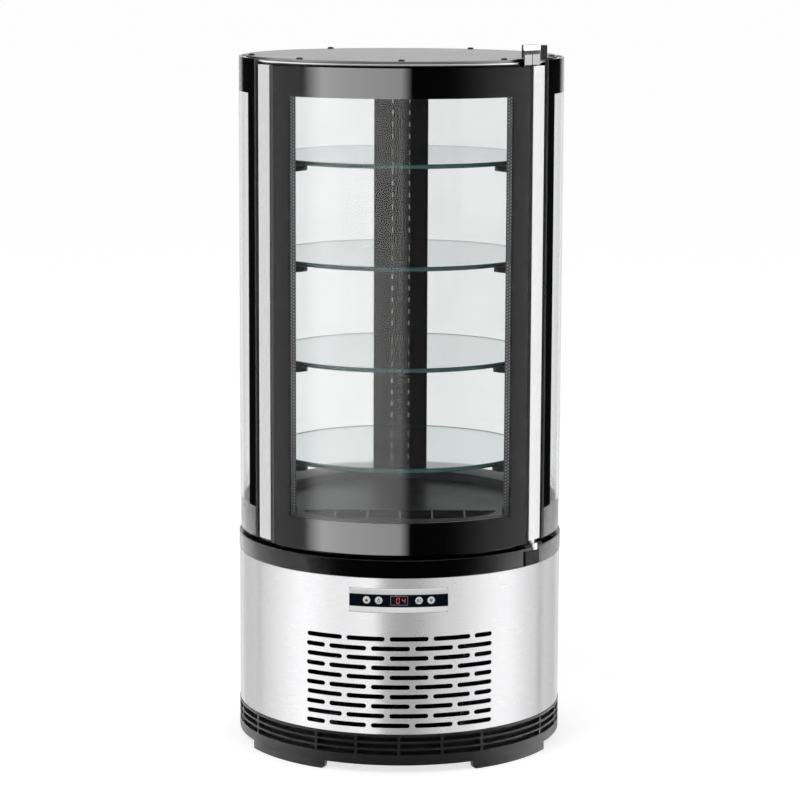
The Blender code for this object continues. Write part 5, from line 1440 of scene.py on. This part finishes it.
class DISPLAY_CASE_OT_controls(bpy.types.Operator):
    """Builds the control plate, the display with its digits, and the four buttons"""
    bl_idname = "display_case.controls"
    bl_label = "Controls"

    def execute(self, context):
        new_piece("silver_plate", [(control_plate_shape(), "silver lacquer")],
                  replaces=["control_plate"], bevel=0.0002)
        self.add_display()
        for name, angle in BUTTON_ANGLES.items():
            self.add_button(name, angle)
        return {"FINISHED"}

    def add_display(self):
        hole, end_gap = 0.0057, 0.04
        half_hole = math.degrees(hole / BODY) + 0.01
        holes = [(angle - half_hole, angle + half_hole) for angle in BUTTON_ANGLES.values()]
        panel = slotted_sheet(BODY - 0.0002, 0.003, PLATE_START + end_gap, PLATE_END - end_gap, FACE_LOW,
                              FACE_TOP, [(DISPLAY_MIDDLE, 2 * hole, holes)], step=1.0, same=0.005)
        outer = refined(rounded(oblong_about(0, 0, 0.0121, 0.0064), 0.001), 0.003)
        inner = outer * np.array([0.94, 0.88])
        back, front = BODY - 0.0004, BODY - 0.00004
        line = np.stack([around(radius, *on_display(outline, -0.1).T) for outline, radius in
                         ((outer, back), (outer, front), (inner, front), (inner, back))], axis=1)
        tall, wide, bold = sizes().digit_height, 0.0049, 0.0011
        lit_marks = together(display_marks(-0.5, digit("0", wide, tall, bold)),
                             display_marks(1.45, digit("4", wide, tall, bold)))
        dim_marks = display_marks(-2.2, digit("8", 0.0044, tall * 0.9, 0.0007))
        turn = np.linspace(0, 2 * np.pi, 10, endpoint=False)
        flake = np.stack([0.0007 * np.cos(turn), 0.0006 * np.sin(turn) + 0.0071], axis=1)
        icons = together(display_marks(-1.05, [flake]), display_marks(0.25, [flake]))
        new_piece("display_face", [(panel, "display glass"), (loft(line, closed=True), "display line"),
                                   (lit_marks, "lit red"), (dim_marks, "unlit segment"),
                                   (icons, "display line")],
                  replaces=["display_panel"])

    def add_button(self, name, angle):
        radius, back = 0.0053, BODY - 0.0109
        profile = [(0, 0), (radius - 0.0003, 0), (radius, 0.0003), (radius, 0.0101),
                   (radius - 0.0002, 0.0104), (radius - 0.0006, 0.0106), (0.0034, 0.01075), (0, 0.01078)]
        place = around(back, angle, DISPLAY_MIDDLE)
        cap = turned(profile, 40, place, place * (1, 1, 0))
        ink = [laid_on(raised(outline, 0.0102, 0.01088), angle, back, DISPLAY_MIDDLE)
               for outline in symbol_outlines(name)]
        new_piece(name + "_cap", [(cap, "white plastic"), (together(*ink), "symbol ink")], name,
                  [name])


class DISPLAY_CASE_OT_machinery(bpy.types.Operator):
    """Gives the machinery inside the base its finishes"""
    bl_idname = "display_case.machinery"
    bl_label = "Machinery"

    def execute(self, context):
        finishes = {
            "base_plate": "galvanised sheet", "evaporator_tub": "white plastic", "condenser": "painted coil",
            "condenser_fan_frame": "galvanised sheet", "condenser_fan": "moulded black",
            "compressor": "compressor paint", "control_box": "galvanised sheet",
            "control_board": "circuit board", "evaporator": "coil fins", "blower_housing": "moulded black",
            "blower_wheel": "white plastic",
        }
        for name, finish in finishes.items():
            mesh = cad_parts[name].data
            mesh.materials.clear()
            mesh.materials.append(bpy.data.materials[finish])
        return {"FINISHED"}


def glow_through(tree, surface, strength):
    """Ends a material with a surface that gives off light too."""
    glow = node(tree, "ShaderNodeEmission", {"Strength": strength})
    both = node(tree, "ShaderNodeAddShader", {0: surface.outputs[0], 1: glow.outputs[0]})
    node(tree, "ShaderNodeOutputMaterial", {"Surface": both.outputs[0]})


def azimuth_ramp(tree, place, stops):
    """A value that follows the angle round the case, through (angle, value) stops."""
    turn, _ = turn_and_level(tree, place)
    share = between(tree, turn, 0.0, 1.0, -math.pi, math.pi)
    ramp = node(tree, "ShaderNodeValToRGB", {0: share})
    band = ramp.color_ramp
    for end, (angle, value) in ((0, stops[0]), (1, stops[-1])):
        band.elements[end].position = (angle + 180) / 360
        band.elements[end].color = (value, value, value, 1)
    for angle, value in stops[1:-1]:
        band.elements.new((angle + 180) / 360).color = (value, value, value, 1)
    return ramp.outputs[0]


def studio_wall(name, radius, stops, strength, receivers):
    """A tall ring of light that only the named pieces mirror. Its strength follows the angle round the
    case, and rays go on through it."""
    low, high = -5.0, 9.0
    points = around(radius, np.linspace(-180, 180, 121)[None, :], np.array([low, high])[:, None])
    mesh = bpy.data.meshes.new(name)
    mesh.from_pydata(points.reshape(-1, 3), [], quads_of(points).reshape(-1, 4).tolist())
    made = bpy.data.materials.new(name)
    tree = cleared(made)
    level = azimuth_ramp(tree, object_place(tree), stops)
    power = node(tree, "ShaderNodeMath", {0: level, 1: strength}, operation="MULTIPLY").outputs[0]
    glow_through(tree, node(tree, "ShaderNodeBsdfTransparent"), power)
    made.cycles.emission_sampling = "NONE"
    mesh.materials.append(made)
    wall = new_object(name, mesh)
    wall.visible_camera = wall.visible_diffuse = wall.visible_transmission = False
    wall.visible_volume_scatter = wall.visible_shadow = False
    linked = bpy.data.collections.new(name + " pieces")
    for receiver in receivers:
        linked.objects.link(bpy.data.objects[receiver])
    wall.light_linking.receiver_collection = linked


def white_where_seen(tree, seen, otherwise):
    """One value for camera and transmission rays, and another for the rest."""
    rays = node(tree, "ShaderNodeLightPath")
    direct = node(tree, "ShaderNodeMath", {0: rays.outputs["Is Camera Ray"],
                                           1: rays.outputs["Is Transmission Ray"]}, operation="MAXIMUM")
    inputs = {0: direct.outputs[0], 2: otherwise, 3: seen}
    return node(tree, "ShaderNodeMix", inputs, data_type="FLOAT").outputs[0]


class DISPLAY_CASE_OT_stage(bpy.types.Operator):
    """Sets the floor, the studio light and the camera"""
    bl_idname = "display_case.stage"
    bl_label = "Stage"

    def execute(self, context):
        scene = context.scene
        scene.view_settings.view_transform = "Standard"
        self.add_world(scene)
        self.add_floor()
        self.add_lamps()
        self.add_walls()
        self.add_camera(scene)
        return {"FINISHED"}

    def add_world(self, scene):
        """White where it is seen, plain light for matt surfaces, and for glossy ones a room with dark
        and white walls under a grey ceiling."""
        world = bpy.data.worlds.new("studio")
        scene.world = world
        world.cycles.sampling_method = "NONE"
        tree = cleared(world)
        direction = node(tree, "ShaderNodeTexCoord").outputs["Generated"]
        walls = azimuth_ramp(tree, direction, [
            (-180, 1.0), (-158, 1.0), (-150, 0.02), (-122, 0.02), (-117, 1.0), (-73, 1.0), (-63, 0.7),
            (-54, 0.3), (-45, 0.07), (-36, 0.02), (0, 0.0), (40, 0.01), (48, 0.07), (58, 0.28), (67, 0.7),
            (77, 0.87), (88, 1.0), (117, 1.0), (122, 0.02), (150, 0.02), (158, 1.0), (180, 1.0)])
        rise = node(tree, "ShaderNodeSeparateXYZ", {0: direction})
        ceiling = between(tree, rise.outputs["Z"], 0.0, 1.0, 0.35, 0.7)
        mirrored = node(tree, "ShaderNodeMath", {0: walls, 1: ceiling}, operation="MAXIMUM").outputs[0]
        rays = node(tree, "ShaderNodeLightPath")
        soft = node(tree, "ShaderNodeMix", {0: rays.outputs["Is Glossy Ray"], 2: 0.72, 3: mirrored},
                    data_type="FLOAT")
        strength = white_where_seen(tree, 1.0, soft.outputs[0])
        light = node(tree, "ShaderNodeBackground", {"Strength": strength})
        node(tree, "ShaderNodeOutputWorld", {"Surface": light.outputs[0]})

    def add_floor(self):
        radius, points, below = 90.0, 64, 0.0002
        made = bpy.data.materials.new("pale floor")
        tree = cleared(made)
        matt = node(tree, "ShaderNodeBsdfDiffuse", {"Color": (0.55, 0.55, 0.55, 1)})
        glow_through(tree, matt, white_where_seen(tree, 0.67, 0.0))
        made.cycles.emission_sampling = "NONE"
        mesh = bpy.data.meshes.new("floor")
        rim = around(radius, np.linspace(0, 360, points, endpoint=False), -below)
        mesh.from_pydata(rim, [], [list(range(points))])
        mesh.materials.append(made)
        floor = new_object("floor", mesh)
        floor.visible_glossy = False

    def add_lamps(self):
        aim = Vector((0, 0, 0.45))
        for name, place, size, power in (("key light", (-2.2, -2.6, 2.8), 1.6, 42.0),
                                         ("fill light", (2.6, -1.8, 2.0), 1.8, 16.0)):
            lamp = bpy.data.lights.new(name, "AREA")
            lamp.size = size
            lamp.energy = power
            holder = new_object(name, lamp)
            holder.location = place
            holder.rotation_mode = "QUATERNION"
            holder.rotation_quaternion = (aim - Vector(place)).to_track_quat("-Z", "Y")
            holder.visible_glossy = holder.visible_transmission = holder.visible_camera = False

    def add_walls(self):
        """Rings of light, each for the pieces that mirror it, by angle from the front."""
        softbox = [(-180, 0.0), (-70, 0.0), (-55, 1.0), (0, 0.74), (7, 0.0), (31, 0.002), (40, 0.01),
                   (49, 0.02), (58, 0.02), (70, 0.0), (180, 0.0)]
        studio_wall("softbox beside the door", 5.0, softbox, 8.0, ["door_border"])
        studio_wall("softbox beside the window", 5.1, softbox, 11.0, ["door_window"])
        studio_wall("panels beside the steel", 6.0, [
            (-180, 0.0), (-158, 0.0), (-150, 0.52), (-128, 0.56), (-122, 0.68), (-117, 0.0), (-104, 0.07),
            (-94, 0.17), (-86, 0.27), (-76, 0.37), (-63, 0.53), (-54, 0.7), (-45, 0.82), (-36, 0.86),
            (-20, 1.0), (-16, 0.98), (-11, 0.42), (7, 0.36), (15, 0.41), (24, 0.58), (33, 0.68),
            (40, 0.64), (48, 0.72), (58, 0.66), (67, 0.46), (77, 0.43), (88, 0.3), (100, 0.1), (117, 0.0),
            (124, 0.68), (150, 0.42), (158, 0.0)], 1.2, ["steel_wrap", "rear_louvred_panel"])
        studio_wall("walls beside the band", 7.0, [
            (-180, 0.0), (-158, 0.15), (-150, 0.65), (-135, 0.8), (-122, 0.75), (-117, 0.25), (-84, 0.1),
            (-73, 0.25), (-65, 0.0), (68, 0.0), (77, 0.25), (88, 0.5), (117, 0.5), (122, 1.0),
            (140, 0.75), (150, 0.45), (158, 0.0), (180, 0.0)], 2.0,
            ["gloss_band", "lower_ring", "skirt_louvres", "hinge_upper", "top_trim_rim"])
        studio_wall("panel before the hinge", 5.5, [(-180, 1.0), (180, 1.0)], 0.8,
                    ["hinge_lower_bushing"])
        studio_wall("panel before the trim", 5.6, [
            (-180, 0.0), (-84, 0.0), (-72, 1.0), (84, 1.0), (96, 0.0), (180, 0.0)], 0.35,
            ["top_trim_rim", "roof_sheet"])
        studio_wall("walls beside the strips", 5.7, [
            (-180, 0.0), (-158, 0.0), (-150, 1.0), (-122, 1.0), (-117, 0.06), (-90, 0.06), (-80, 0.0),
            (80, 0.0), (90, 0.33), (117, 0.33), (122, 1.0), (150, 1.0), (158, 0.33), (180, 0.0)], 1.1,
            ["door_edge_profile_left", "door_edge_profile_right"])

    def add_camera(self, scene):
        """The photograph's camera: its place, its tilt below level and its slight roll, in radians."""
        place, tilt, roll = (-0.00028, -4.17469, 1.15478), 0.15924, 0.0038
        camera = bpy.data.cameras.new("camera")
        camera.sensor_width = 36.0
        camera.lens = 133.297
        camera.clip_end = 300.0
        holder = new_object("camera", camera)
        holder.matrix_world = (Matrix.Translation(place) @ Matrix.Rotation(math.pi / 2 - tilt, 4, "X")
                               @ Matrix.Rotation(roll, 4, "Z"))
        scene.camera = holder


STEPS = (DISPLAY_CASE_OT_finishes, DISPLAY_CASE_OT_skirt, DISPLAY_CASE_OT_steel, DISPLAY_CASE_OT_rings,
         DISPLAY_CASE_OT_glazing, DISPLAY_CASE_OT_column, DISPLAY_CASE_OT_deck, DISPLAY_CASE_OT_shelves,
         DISPLAY_CASE_OT_door, DISPLAY_CASE_OT_hinges, DISPLAY_CASE_OT_controls,
         DISPLAY_CASE_OT_machinery, DISPLAY_CASE_OT_stage)


class DISPLAY_CASE_PT_panel(bpy.types.Panel):
    """Lists the steps that build the display case"""
    bl_idname = "DISPLAY_CASE_PT_panel"
    bl_label = "Display Case"
    bl_space_type = "VIEW_3D"
    bl_region_type = "UI"
    bl_category = "Display Case"

    def draw(self, context):
        layout = self.layout
        for group in (context.scene.display_case_sizes, context.scene.display_case_colours):
            for name in group.__annotations__:
                layout.prop(group, name)
        for step in STEPS:
            layout.operator(step.bl_idname)


CLASSES = (DisplayCaseSizes, DisplayCaseColours, *STEPS, DISPLAY_CASE_PT_panel)


def register():
    for each in CLASSES:
        bpy.utils.register_class(each)
    bpy.types.Scene.display_case_sizes = bpy.props.PointerProperty(type=DisplayCaseSizes)
    bpy.types.Scene.display_case_colours = bpy.props.PointerProperty(type=DisplayCaseColours)


def unregister():
    del bpy.types.Scene.display_case_colours
    del bpy.types.Scene.display_case_sizes
    for each in reversed(CLASSES):
        bpy.utils.unregister_class(each)


def main():
    """Registers the add-on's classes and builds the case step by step."""
    register()
    bpy.ops.display_case.finishes()
    bpy.ops.display_case.skirt()
    bpy.ops.display_case.steel()
    bpy.ops.display_case.rings()
    bpy.ops.display_case.glazing()
    bpy.ops.display_case.column()
    bpy.ops.display_case.deck()
    bpy.ops.display_case.shelves()
    bpy.ops.display_case.door()
    bpy.ops.display_case.hinges()
    bpy.ops.display_case.controls()
    bpy.ops.display_case.machinery()
    bpy.ops.display_case.stage()


if __name__ == "__main__":
    main()
